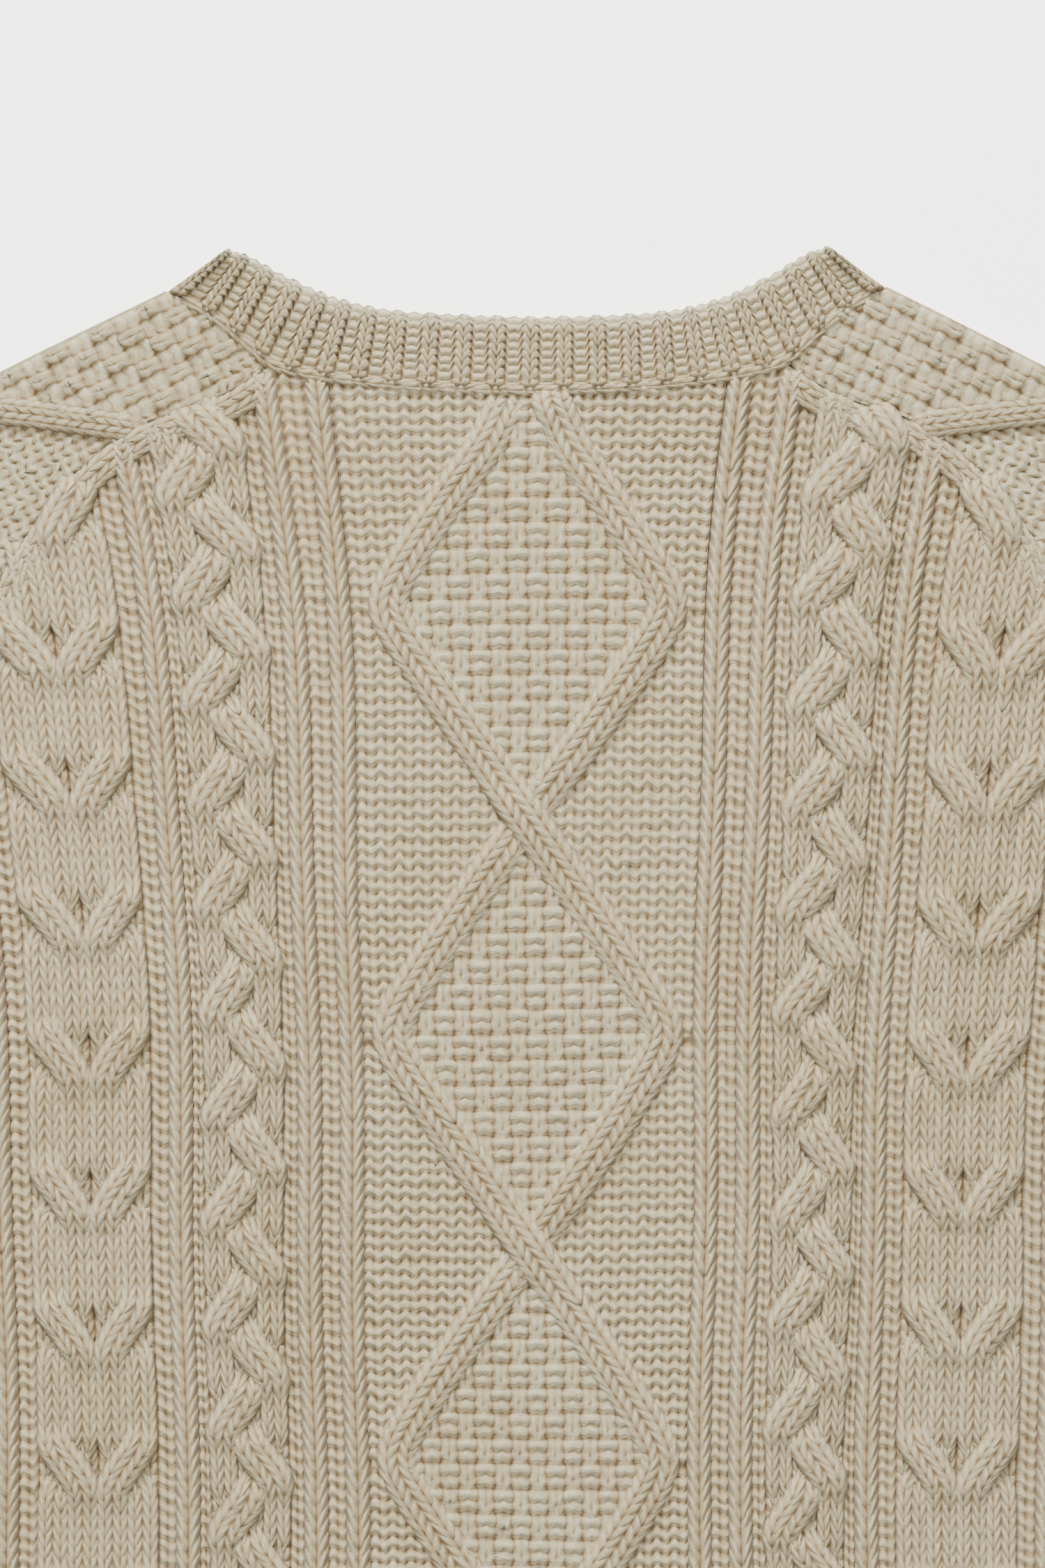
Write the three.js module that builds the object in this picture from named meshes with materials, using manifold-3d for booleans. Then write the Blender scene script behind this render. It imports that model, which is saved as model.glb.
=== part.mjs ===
// A cable knit sweater lying flat with its back upwards, the neck towards +Y, in millimetres.
// The front panel lies on the surface, the back panel lies on it, each sleeve is one folded tube
// beside them, and the neckband is one ring that folds over at both shoulders.
import * as THREE from "three";
import Module from "manifold-3d";

const wasm = await Module();
wasm.setup();

// Driving sizes
const BODY_LENGTH = 600; // back neck seam to hem
const BAND_PEAK = 48.5; // top of the neckband above the back neck seam, at the shoulder
const HEM_RIB = 64;
const WALL = 3; // knitted cloth in reverse stocking stitch
const LAYER_GAP = 0.3; // between the front panel and the back panel lying on it
const SEAM_GAP = 0.3; // between two pieces at a seam
const LOW_TOP = WALL;
const HIGH_BOTTOM = WALL + LAYER_GAP;
const HIGH_TOP = HIGH_BOTTOM + WALL;
const PARTING = (LOW_TOP + HIGH_BOTTOM) / 2;
const SKY = 40; // above everything
const NECK_Y = (BODY_LENGTH - BAND_PEAK) / 2; // the back neck seam, with the origin at the middle

// Raised knitting: how far each kind stands above the ground of the cloth
const CORD_LIFT = 1.7;
const BAND_LIFT = 2.8;
const PANEL_LIFT = 2.1;
const CROSSING_LIFT = 1.7;
const RIB_LIFT = 1.3;
const FILL_LIFT = 0.5;
const RIB_PITCH = 11.6;

// Places of the knitted features, from the centre line outwards, half way down the armhole
const CORDS = [60, 74.5, 118.5, 181];
const BRAID = { at: 97, half: 12.5, pitch: 35, left: -25.1, right: -41.2 };
const HORSESHOE = { at: 149.5, half: 20, pitch: 45.3, cross: -38.4 };
const DIAMOND = { reach: 45.4, pitch: 142.6, cross: 0, half: 7.4, corner: 5 };
const CORD_HALF = 4.6;
const ROW_STEP = BRAID.pitch / 4;

// Seam of each panel with the sleeve, outwards from the neckband. The back neck seam is at y = 0
const SHOULDER_POINT = { back: { x: 85, y: 10 }, front: { x: 94, y: -4 } };
const ARMHOLE = [
  { x: 135, y: -14.5 },
  { x: 145, y: -22 },
  { x: 158, y: -35 },
  { x: 168, y: -49 },
  { x: 175, y: -60 },
  { x: 186, y: -82 },
  { x: 196, y: -110 },
  { x: 203, y: -145 },
  { x: 211, y: -180 },
  { x: 228, y: -212 },
  { x: 260, y: -238 },
];
const BACK_SHOULDER = [
  { x: 99, y: 1 },
  { x: 110, y: -4 },
  { x: 125, y: -9 },
];
const FRONT_SHOULDER = [
  { x: 108, y: -9 },
  { x: 122, y: -12 },
];
const SIDE = [
  { x: 263, y: -262 },
  { x: 263, y: -400 },
  { x: 258, y: -470 },
  { x: 249, y: -BODY_LENGTH + HEM_RIB },
  { x: 240, y: -BODY_LENGTH + HEM_RIB - 12 },
  { x: 236, y: -BODY_LENGTH },
];

// The neckband's seam edge and free edge on the back, then on the front, from the centre outwards
const BAND_BACK = [
  { sx: 0, sy: 0, ex: 0, ey: 24.4 },
  { sx: 25, sy: 0.8, ex: 24, ey: 25.2 },
  { sx: 49.4, sy: 3, ex: 47, ey: 27.2 },
  { sx: 70.7, sy: 6.2, ex: 63, ey: 31 },
  { sx: 85, sy: 10, ex: 73, ey: 35 },
  { sx: 95, sy: 18.4, ex: 84, ey: 40.4 },
  { sx: 105, sy: 26.4, ex: 93, ey: 45.6 },
  { sx: 115, sy: 32, ex: 99, ey: 47.6 },
];
const BAND_FRONT = [
  { sx: 117, sy: 26, ex: 98, ey: 40 },
  { sx: 106, sy: 10, ex: 87, ey: 19 },
  { sx: 94, sy: -4, ex: 76, ey: 5 },
  { sx: 83, sy: -20, ex: 66, ey: -8 },
  { sx: 60, sy: -41, ex: 48, ey: -23 },
  { sx: 30, sy: -56, ex: 25, ey: -36 },
  { sx: 0, sy: -61, ex: 0, ey: -40 },
];
const BAND_FOLD = { sx: 120.5, sy: 34, ex: 101, ey: 48.5 };

// The sleeve's folded upper edge leaves the neckband at START and turns down past the shoulder
const SLEEVE = { startX: 120.6, startY: 34.6, length: 655, cuffRib: 66, crossAt: 82.7 };
const SLEEVE_TURN = [
  { s: -40, degrees: 27 },
  { s: 120, degrees: 27 },
  { s: 330, degrees: 54 },
  { s: 700, degrees: 56 },
];
const SLEEVE_WIDTH = [
  { s: -40, w: 200 },
  { s: 245, w: 200 },
  { s: 330, w: 176 },
  { s: 420, w: 152 },
  { s: 589, w: 112 },
  { s: 601, w: 96 },
  { s: 655, w: 92 },
];

// Soft creases left by laying the garment down: middle, direction, half length, half width, height
const CREASES = [
  { x: 262, y: -196, degrees: 118, long: 52, wide: 11, high: 2.6 },
  { x: 300, y: -214, degrees: 128, long: 44, wide: 9, high: 2.2 },
  { x: 236, y: -262, degrees: 64, long: 46, wide: 12, high: 1.6 },
  { x: 398, y: -268, degrees: 20, long: 34, wide: 10, high: 1.9 },
  { x: 424, y: -316, degrees: 8, long: 30, wide: 9, high: 1.6 },
  { x: 226, y: -452, degrees: 98, long: 70, wide: 16, high: 1.3 },
];

// A value read from a table at a place, with straight lines between its rows
function fromTable(rows, key, place, column) {
  let i = 0;
  while (i < rows.length - 2 && rows[i + 1][key] < place) i += 1;
  const a = rows[i];
  const b = rows[i + 1];
  const t = THREE.MathUtils.clamp((place - a[key]) / (b[key] - a[key]), 0, 1);
  return a[column] + t * (b[column] - a[column]);
}

// The knitting spreads towards the shoulders, so every feature moves out by this factor
const fan = (y) => 0.95 + 0.22 * Math.exp(Math.min(y, 20) / 120);

// A bump of height 1 at each crossing of a cable, 0 half a pitch away
function crossing(y, first, pitch, share = 0.34) {
  const away = Math.abs((y - first) / pitch - Math.round((y - first) / pitch));
  return Math.max(0, Math.cos((away / share) * (Math.PI / 2))) * (away < share ? 1 : 0);
}

// How far the diamond's travelling band is from its centre line: a zigzag with rounded corners
function diamondReach(along, size = DIAMOND) {
  const t = (along - size.cross) / size.pitch;
  const inward = Math.abs(2 * (t - Math.floor(t)) - 1);
  const whole = Math.sqrt(size.reach * (size.reach + 2 * size.corner));
  return size.reach + size.corner - Math.hypot(inward * whole, size.corner);
}

// The cloth lies a little unevenly, and creases stand up near the underarms and elbows
function settle(x, y) {
  let z = 0.35 * Math.sin(x / 61 + 0.7) * Math.sin(y / 83 + 0.4) + 0.35 * Math.sin((x + y) / 97);
  for (const c of CREASES) {
    const turn = THREE.MathUtils.degToRad(c.degrees);
    const dx = Math.abs(x) - c.x;
    const dy = y - c.y;
    const along = (dx * Math.cos(turn) + dy * Math.sin(turn)) / c.long;
    const across = (-dx * Math.sin(turn) + dy * Math.cos(turn)) / c.wide;
    z += c.high * Math.exp(-(along ** 2) - across ** 2);
  }
  return z;
}

// The diamond's travelling band on the body, which spreads a little less than the cords do
const bandReach = (y) => diamondReach(-y) * (0.4 + 0.6 * fan(y));

// The middle of the diamond is flat, and stands up where the bands cross over each other
const middleLift = (y) => crossLift(bandReach(y));
const crossLift = (reach) => {
  const near = Math.max(0, 1 - reach / DIAMOND.half);
  return FILL_LIFT + (BAND_LIFT + 0.6 - FILL_LIFT) * near;
};

// Each line of points that runs down the back panel: its place across at a height, and its lift
function bodyLines(side) {
  const lines = [];
  const add = (place, lift) => lines.push({ place, lift });
  const fixed = (at, lift) => add((y) => at * fan(y), lift);
  add((y) => Math.max(bandReach(y) - DIAMOND.half, 0.8), middleLift);
  add((y) => Math.max(bandReach(y), 1.8), () => BAND_LIFT);
  add((y) => bandReach(y) + DIAMOND.half, () => 0);
  const cord = (at) => {
    fixed(at - CORD_HALF, () => 0);
    fixed(at, () => CORD_LIFT);
    fixed(at + CORD_HALF, () => 0);
  };
  cord(CORDS[0]);
  cord(CORDS[1]);
  const lumpLeft = (y) => CROSSING_LIFT * crossing(y, BRAID.left, BRAID.pitch);
  const lumpRight = (y) => CROSSING_LIFT * crossing(y, BRAID.right, BRAID.pitch);
  const [inner, outer] = side > 0 ? [lumpLeft, lumpRight] : [lumpRight, lumpLeft];
  fixed(BRAID.at - BRAID.half, () => 0);
  fixed(BRAID.at - 0.7 * BRAID.half, (y) => PANEL_LIFT + inner(y));
  fixed(BRAID.at, (y) => PANEL_LIFT + 0.6 * (inner(y) + outer(y)) - 0.3);
  fixed(BRAID.at + 0.7 * BRAID.half, (y) => PANEL_LIFT + outer(y));
  fixed(BRAID.at + BRAID.half, () => 0);
  cord(CORDS[2]);
  const lump = (y) => CROSSING_LIFT * crossing(y, HORSESHOE.cross, HORSESHOE.pitch);
  fixed(HORSESHOE.at - HORSESHOE.half, () => 0);
  fixed(HORSESHOE.at - 0.78 * HORSESHOE.half, (y) => PANEL_LIFT + 0.5 * lump(y));
  fixed(HORSESHOE.at - 0.4 * HORSESHOE.half, (y) => PANEL_LIFT + lump(y));
  fixed(HORSESHOE.at, (y) => PANEL_LIFT - 0.6 * lump(y));
  fixed(HORSESHOE.at + 0.4 * HORSESHOE.half, (y) => PANEL_LIFT + lump(y));
  fixed(HORSESHOE.at + 0.78 * HORSESHOE.half, (y) => PANEL_LIFT + 0.5 * lump(y));
  fixed(HORSESHOE.at + HORSESHOE.half, () => 0);
  cord(CORDS[3]);
  add((y) => 0.5 * ((CORDS[3] + CORD_HALF) * fan(y) + sideAt(y) - 22), () => 0);
  add((y) => sideAt(y) - 22, () => 0);
  add((y) => sideAt(y) - 6, () => -0.4);
  add((y) => sideAt(y) + 2, () => -WALL * 0.75);
  return lines.map(({ place, lift }) => ({ place: (y) => side * place(y), lift }));
}

// Half the body's width at a height, below the underarm and carried straight up above it
function sideAt(y) {
  const down = SIDE.map((p) => ({ x: p.x, down: -p.y }));
  return y > SIDE[0].y ? SIDE[0].x : fromTable(down, "down", -y, "x");
}

// A closed solid from its points' coordinates and its triangles
function closed(positions, index) {
  const mesh = new wasm.Mesh({
    numProp: 3,
    vertProperties: new Float32Array(positions),
    triVerts: new Uint32Array(index),
  });
  return new wasm.Manifold(mesh);
}

// A skin through rings of points. Each ring is a closed loop with as many points as the others.
// The two flat forms, where there are any, give the first and the last ring their faces. Without
// them the last ring joins the first.
function loft(rings, flats) {
  const count = rings[0].length;
  const positions = rings.flat().flatMap((p) => [p.x, p.y, p.z]);
  const index = [];
  const turns = flats ? rings.length - 1 : rings.length;
  for (let j = 0; j < turns; j += 1) {
    const next = (j + 1) % rings.length;
    for (let i = 0; i < count; i += 1) {
      const k = (i + 1) % count;
      const [a, b, c, d] = [j * count + i, j * count + k, next * count + k, next * count + i];
      index.push(a, b, c, a, c, d);
    }
  }
  if (flats) {
    const last = (rings.length - 1) * count;
    for (const [a, b, c] of faces(flats[0])) index.push(a, c, b);
    for (const [a, b, c] of faces(flats[1])) index.push(last + a, last + b, last + c);
  }
  const solid = closed(positions, index);
  return solid.volume() > 0 ? solid : closed(positions, index.reverse());
}

// The triangles of a flat form, each turning the way that the form's points run
function faces(flat) {
  const turned = THREE.ShapeUtils.area(flat) < 0;
  const points = flat.map((p) => [turned ? -p.x : p.x, p.y]);
  const triangles = wasm.triangulate([points]);
  return Array.from(triangles);
}

// A prism that stands on an outline, from one height to another
function prism(outline, low, high) {
  const ring = (z) => outline.map((p) => new THREE.Vector3(p.x, p.y, z));
  return loft([ring(low), ring(high)], [outline, outline]);
}

// A closed outline moved outwards by a distance. It runs anticlockwise.
function moved(outline, distance) {
  const outward = (from, to) => {
    const along = new THREE.Vector2().subVectors(to, from).normalize();
    return new THREE.Vector2(along.y, -along.x);
  };
  return outline.map((p, i) => {
    const before = outward(outline[(i + outline.length - 1) % outline.length], p);
    const after = outward(p, outline[(i + 1) % outline.length]);
    const corner = before.clone().add(after).normalize();
    const reach = distance / Math.max(0.5, corner.dot(after));
    return p.clone().addScaledVector(corner, reach);
  });
}

// A smooth line through a table's points, with one point every few millimetres
function smooth(rows, step = 9) {
  const curve = new THREE.CatmullRomCurve3(
    rows.map((p) => new THREE.Vector3(p.x, p.y + NECK_Y, 0)),
    false,
    "centripetal",
  );
  const points = curve.getSpacedPoints(Math.max(2, Math.round(curve.getLength() / step)));
  return points.map((p) => new THREE.Vector2(p.x, p.y));
}

// The whole anticlockwise outline from its right half, which runs from the neck's centre to the hem
function wholeOutline(half) {
  const right = half.slice(1).reverse();
  const left = half.slice(1).map((p) => new THREE.Vector2(-p.x, p.y));
  return [...right, half[0], ...left];
}

// A panel's outline, which runs straight across the neck, where the neckband's seam then cuts it
function panelOutline(point, shoulder) {
  const across = new THREE.Vector2(0, 30 + NECK_Y);
  const corner = new THREE.Vector2(point.x - 3, 30 + NECK_Y);
  const seam = smooth([point, ...shoulder, ...ARMHOLE, SIDE[0]]);
  const lower = smooth(SIDE, 24);
  return wholeOutline([across, corner, ...seam, ...lower.slice(1)]);
}

const BACK_OUTLINE = panelOutline(SHOULDER_POINT.back, BACK_SHOULDER);
const FRONT_OUTLINE = panelOutline(SHOULDER_POINT.front, FRONT_SHOULDER);

// The neckband's two edges at even steps along its seam, from the centre to the fold
function bandEdges(rows, step) {
  const line = (x, y) => {
    const points = rows.map((p) => new THREE.Vector3(p[x], p[y] + NECK_Y, 0));
    return new THREE.CatmullRomCurve3(points, false, "centripetal");
  };
  const seam = line("sx", "sy");
  const edge = line("ex", "ey");
  const count = Math.round(seam.getLength() / step);
  const places = Array.from({ length: count + 1 }, (_, i) => i / count);
  return places.map((t) => ({ seam: seam.getPoint(t), edge: edge.getPoint(t) }));
}

const BACK_BAND = bandEdges([...BAND_BACK, BAND_FOLD], RIB_PITCH / 2);
const FRONT_BAND = bandEdges([...[...BAND_FRONT].reverse(), BAND_FOLD], 14);

// What the neckband takes out of the pieces round it on one layer: all that lies above its seam
function neckHole(edges, low, high) {
  const seam = edges.map((p) => new THREE.Vector2(p.seam.x, p.seam.y));
  const right = [...seam.slice(1), new THREE.Vector2(BAND_FOLD.sx, 120 + NECK_Y)];
  const left = right.map((p) => new THREE.Vector2(-p.x, p.y)).reverse();
  return prism(moved([...left, seam[0], ...right], SEAM_GAP), low, high);
}

// One slab of knitting: rings that run across the body, one for each row
function knitSlab(rows, ring) {
  const rings = rows.map((y) => ring(y));
  const flat = (points) => points.map((p) => new THREE.Vector2(p.x, p.z));
  const ends = [flat(rings[0]), flat(rings.at(-1))];
  return loft(rings, ends);
}

function span(from, to, step) {
  const count = Math.max(1, Math.ceil((to - from) / step));
  return Array.from({ length: count + 1 }, (_, i) => from + ((to - from) * i) / count);
}

function backPanel() {
  const right = bodyLines(1);
  const left = bodyLines(-1).reverse();
  const centre = { place: () => 0, lift: middleLift };
  const lines = [...left, centre, ...right];
  const ribTop = HEM_RIB - BODY_LENGTH;
  const down = Math.floor((BRAID.left - ribTop) / ROW_STEP) * ROW_STEP;
  const rows = [ribTop - 1, ...span(BRAID.left - down, BRAID.left + 5 * ROW_STEP, ROW_STEP)];
  const ring = (y) => {
    const top = lines.map(({ place, lift }) => {
      const x = place(y);
      return new THREE.Vector3(x, y + NECK_Y, HIGH_TOP + lift(y) + settle(x, y));
    });
    const low = [top.at(-1), top[0]].map((p) => new THREE.Vector3(p.x, p.y, HIGH_BOTTOM));
    return [...top, ...low];
  };
  const cloth = knitSlab(rows, ring);
  const hem = hemRib(ribTop);
  const whole = cloth.add(hem).intersect(prism(BACK_OUTLINE, -1, SKY));
  return whole.subtract(neckHole(BACK_BAND, -1, SKY));
}

// The ribbed hem: a crest and a hollow in turn, each half a rib wide, drawn in a little at the top
function hemRib(top) {
  const count = 2 * Math.round(SIDE.at(-1).x / RIB_PITCH) + 2;
  const places = Array.from({ length: 2 * count + 1 }, (_, i) => (i - count) * (RIB_PITCH / 2));
  const edge = -BODY_LENGTH - 1;
  return knitSlab([edge, edge + 3, top], (y) => {
    const thin = y < edge + 2 ? 0.8 : 0;
    const points = places.map((x, i) => {
      const inside = sideAt(y) - Math.abs(x);
      const drop = inside < 6 ? 1.6 : 0;
      const lift = (i % 2 ? RIB_LIFT : -0.3) - drop - thin;
      return new THREE.Vector3(x * 1.02, y + NECK_Y, HIGH_TOP + lift);
    });
    const low = [points.at(-1), points[0]].map((p) => new THREE.Vector3(p.x, p.y, HIGH_BOTTOM));
    return [...points, ...low];
  });
}

function frontPanel() {
  return prism(FRONT_OUTLINE, 0, LOW_TOP).subtract(neckHole(FRONT_BAND, -1, SKY));
}

// The sleeve's folded edge as a line of points with their directions, worked out by walking along it
function sleeveFold() {
  const step = 5;
  const walk = (from, to) => {
    const points = [];
    let x = SLEEVE.startX;
    let y = SLEEVE.startY;
    const stride = Math.sign(to - from) * step;
    for (let s = from; Math.abs(s - from) <= Math.abs(to - from); s += stride) {
      const turn = THREE.MathUtils.degToRad(fromTable(SLEEVE_TURN, "s", s, "degrees"));
      points.push({ s, x, y, turn });
      x += stride * Math.cos(turn);
      y -= stride * Math.sin(turn);
    }
    return points;
  };
  return [...walk(0, -40).reverse().slice(0, -1), ...walk(0, SLEEVE.length + step)];
}

const FOLD = sleeveFold();

// The place on the right sleeve that is s along the fold and w in from it
function onSleeve(s, w) {
  const x = fromTable(FOLD, "s", s, "x");
  const y = fromTable(FOLD, "s", s, "y");
  const turn = fromTable(FOLD, "s", s, "turn");
  return { x: x - w * Math.sin(turn), y: y - w * Math.cos(turn) };
}

const sleeveWidth = (s) => fromTable(SLEEVE_WIDTH, "s", s, "w");

// One ring round the sleeve, from lists of places across it and heights there
function sleeveRing(s, section) {
  return section.map(({ w, z }) => {
    const p = onSleeve(s, w);
    return new THREE.Vector3(p.x, p.y + NECK_Y, z);
  });
}

function sleeveLoft(stations, section) {
  const rings = stations.map((s) => sleeveRing(s, section(s)));
  const flat = (s) => section(s).map(({ w, z }) => new THREE.Vector2(w, z));
  return loft(rings, [flat(stations[0]), flat(stations.at(-1))]);
}

// The outside of the sleeve above and below, round at the fold and at the underarm seam
function sleeveSection(s) {
  const width = sleeveWidth(s);
  const size = { ...DIAMOND, cross: SLEEVE.crossAt };
  const reach = diamondReach(s, size);
  const room = width - 14;
  const band = Math.min(reach, room - 12);
  const lift = (w, raise) => {
    const p = onSleeve(s, w);
    return { w, z: HIGH_TOP + raise + settle(p.x, p.y) };
  };
  const crest = Math.max(band, 4.6);
  return [
    { w: 1.2, z: 0 },
    { w: 0, z: 1.4 },
    { w: 0, z: HIGH_TOP - 2.4 },
    lift(2.2, crossLift(reach) - 1.1),
    lift(Math.max(crest - DIAMOND.half, 3.4), crossLift(reach)),
    lift(crest, BAND_LIFT),
    lift(crest + DIAMOND.half, 0),
    lift(0.5 * (crest + DIAMOND.half + room), 0),
    lift(room, 0),
    lift(width - 3, -0.6),
    { w: width, z: HIGH_TOP - 2.4 },
    { w: width, z: 1.4 },
    { w: width - 1.2, z: 0 },
  ];
}

// The ribbed cuff round the end of the sleeve, with as many ribs all along it
function cuffSection(s) {
  const width = sleeveWidth(s);
  const count = 2 * Math.round(sleeveWidth(SLEEVE.length) / RIB_PITCH);
  const crests = Array.from({ length: count - 1 }, (_, i) => ({
    w: 3 + ((width - 6) * i) / (count - 2),
    z: HIGH_TOP + (i % 2 ? RIB_LIFT : -0.3),
  }));
  return [
    { w: 1.2, z: 0 },
    { w: 0, z: 1.4 },
    { w: 0, z: HIGH_TOP - 2.4 },
    ...crests,
    { w: width, z: HIGH_TOP - 2.4 },
    { w: width, z: 1.4 },
    { w: width - 1.2, z: 0 },
  ];
}

// The empty inside of the sleeve, which runs out at both ends
function sleeveInside() {
  const stations = [-39, ...span(0, SLEEVE.length + 4, 24)];
  return sleeveLoft(stations, (s) => {
    const width = sleeveWidth(s);
    return [
      { w: WALL, z: LOW_TOP },
      { w: WALL, z: HIGH_BOTTOM },
      { w: width - WALL, z: HIGH_BOTTOM },
      { w: width - WALL, z: LOW_TOP },
    ];
  });
}

function sleeve() {
  const ribFrom = SLEEVE.length - SLEEVE.cuffRib;
  const stations = span(-38, ribFrom + 1, 11.9);
  const arm = sleeveLoft(stations, sleeveSection);
  const cuff = sleeveLoft([ribFrom, ribFrom + 12, SLEEVE.length], cuffSection);
  const trimmed = arm
    .add(cuff)
    .subtract(sleeveInside())
    .subtract(prism(moved(BACK_OUTLINE, SEAM_GAP), PARTING, SKY))
    .subtract(prism(moved(FRONT_OUTLINE, SEAM_GAP), -1, PARTING))
    .subtract(neckHole(BACK_BAND, PARTING, SKY))
    .subtract(neckHole(FRONT_BAND, -1, PARTING));
  return largest(trimmed);
}

// The biggest of a solid's separate bodies
function largest(solid) {
  const bodies = solid.decompose();
  return bodies.reduce((a, b) => (b.volume() > a.volume() ? b : a));
}

// The neckband as rings round its loop, over the back, round the fold and back over the front
function neckband() {
  const onBack = { inside: HIGH_BOTTOM, turn: -1.2 };
  const onFront = { inside: LOW_TOP, outside: 0, turn: 0.9 };
  const back = BACK_BAND.slice(0, -1).map((p, i) => {
    return { inner: p, outer: p, ...onBack, outside: HIGH_TOP + (i % 2 ? -0.3 : RIB_LIFT) };
  });
  const front = FRONT_BAND.slice(0, -1).reverse().map((p) => ({ inner: p, outer: p, ...onFront }));
  const fold = BACK_BAND.at(-1);
  const overBack = { inner: drawnIn(BACK_BAND, WALL), outer: drawnIn(BACK_BAND, 0.9) };
  const overFront = { inner: drawnIn(FRONT_BAND, WALL), outer: drawnIn(FRONT_BAND, 0.9) };
  const round = [
    { ...overBack, inside: HIGH_BOTTOM, outside: HIGH_TOP - 0.6, turn: -0.8 },
    { inner: drawnIn(BACK_BAND, WALL - 0.2), outer: fold, inside: PARTING, outside: PARTING, turn: 0 },
    { ...overFront, inside: LOW_TOP, outside: 0.5, turn: 0.6 },
  ];
  const right = [...back, ...round, ...front];
  const left = right.slice(1, -1).reverse().map((p) => ({ ...p, mirror: true }));
  return loft([...right, ...left].map(bandRing));
}

// The band's fold drawn in by a distance, along each of its edges
function drawnIn(edges, distance) {
  const [before, fold] = edges.slice(-2);
  const draw = (key) => {
    const inward = new THREE.Vector3().subVectors(before[key], fold[key]).normalize();
    return fold[key].clone().addScaledVector(inward, distance);
  };
  return { seam: draw("seam"), edge: draw("edge") };
}

// One ring of the band, from its seam to its free edge on the outside, and back on the inside
function bandRing({ inner, outer, inside, outside, turn, mirror }) {
  const at = (line, t, z) => {
    const p = line.seam.clone().lerp(line.edge, t);
    return new THREE.Vector3(mirror ? -p.x : p.x, p.y, z);
  };
  return [
    at(inner, 0, inside),
    at(outer, 0, outside + turn * 0.4),
    at(outer, 0.1, outside),
    at(outer, 0.88, outside),
    at(outer, 1, outside + turn),
    at(inner, 1, inside),
  ];
}

function meshOf(solid, name, colour) {
  const made = solid.getMesh();
  const geometry = new THREE.BufferGeometry();
  geometry.setAttribute("position", new THREE.BufferAttribute(made.vertProperties, 3));
  geometry.setIndex(new THREE.BufferAttribute(made.triVerts, 1));
  const material = new THREE.MeshStandardMaterial({ color: colour, roughness: 0.95, metalness: 0 });
  const mesh = new THREE.Mesh(geometry, material);
  mesh.name = name;
  return mesh;
}

const ECRU = "#d8d0bf";
const rightSleeve = sleeve();
const sweater = new THREE.Group();
sweater.add(meshOf(frontPanel(), "front_panel", ECRU));
sweater.add(meshOf(backPanel(), "back_panel", ECRU));
sweater.add(meshOf(rightSleeve, "sleeve_right", ECRU));
sweater.add(meshOf(rightSleeve.mirror([1, 0, 0]), "sleeve_left", ECRU));
sweater.add(meshOf(neckband(), "neckband", ECRU));

export default sweater;
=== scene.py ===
# %% [markdown]
# A cable knit sweater, laid flat with its back up. The real one is about twenty thousand stitches
# of thick ecru wool. A photograph texture would look flat, and modelling every loop of yarn as a
# tube would need tens of millions of faces. This lesson takes a middle way: every stitch is a small
# relief on a lattice that follows the knitting's own rows and columns, worked out with numpy.

import bmesh
import bpy
import numpy as np
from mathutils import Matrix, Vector


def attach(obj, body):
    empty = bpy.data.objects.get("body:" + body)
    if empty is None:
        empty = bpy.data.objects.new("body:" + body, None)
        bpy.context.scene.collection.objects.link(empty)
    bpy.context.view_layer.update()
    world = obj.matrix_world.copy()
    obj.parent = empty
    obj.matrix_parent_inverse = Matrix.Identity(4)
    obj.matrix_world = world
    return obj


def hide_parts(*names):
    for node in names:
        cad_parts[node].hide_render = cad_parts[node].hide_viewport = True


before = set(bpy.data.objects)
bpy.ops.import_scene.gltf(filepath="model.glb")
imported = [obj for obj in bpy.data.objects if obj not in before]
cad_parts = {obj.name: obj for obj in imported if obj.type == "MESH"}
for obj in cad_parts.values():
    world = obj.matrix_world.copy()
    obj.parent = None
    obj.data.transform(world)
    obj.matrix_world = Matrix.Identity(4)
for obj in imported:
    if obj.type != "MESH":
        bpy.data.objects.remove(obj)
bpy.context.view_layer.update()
print("frame nodes:", sorted(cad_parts))

# %% [markdown]
# Sizes are in millimetres. Heights are measured from the surface that the sweater lies on, and
# y = 0 is the seam between the back and the neckband. The knitting is worked from a few measures:
# the height of a row, the width of a purl stitch, and the places of the cables from the centre line.

# %% Named sizes
MM = 0.001
NECK_Y = 275.75  # the back neck seam, from the origin
HEM_Y = -600.0
RIB_TOP_Y = -536.0
HIGH_TOP = 6.3  # the ground of the upper layer
HIGH_BOTTOM = 3.2
LOW_TOP = 3.1
ROW = 4.24
STITCH = 6.2
RIB_PITCH = 11.6

CORDS = [60.0, 74.5, 118.5, 181.0]
CORD_HALF = 4.0
BRAID_AT, BRAID_HALF, BRAID_PITCH = 97.0, 13.4, 34.65
HORSESHOE_AT, HORSESHOE_HALF, HORSESHOE_PITCH = 149.5, 20.6, 45.3
DIAMOND_PITCH, DIAMOND_REACH, DIAMOND_CORNER, BAND_WIDTH = 142.6, 45.4, 5.0, 14.0

ARMHOLE = np.array([
    (85, 10), (99, 1), (110, -4), (125, -9), (135, -14.5), (145, -22), (158, -35), (168, -49),
    (175, -60), (186, -82), (196, -110), (203, -145), (211, -180), (228, -212), (260, -238),
    (263, -262)], float)
FRONT_ARMHOLE = np.vstack([[(94, -4), (108, -9), (122, -12)], ARMHOLE[4:]])
SIDE = np.array([
    (263, -262), (263, -400), (258, -470), (249, RIB_TOP_Y), (240, RIB_TOP_Y - 12), (236, HEM_Y)])

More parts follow.
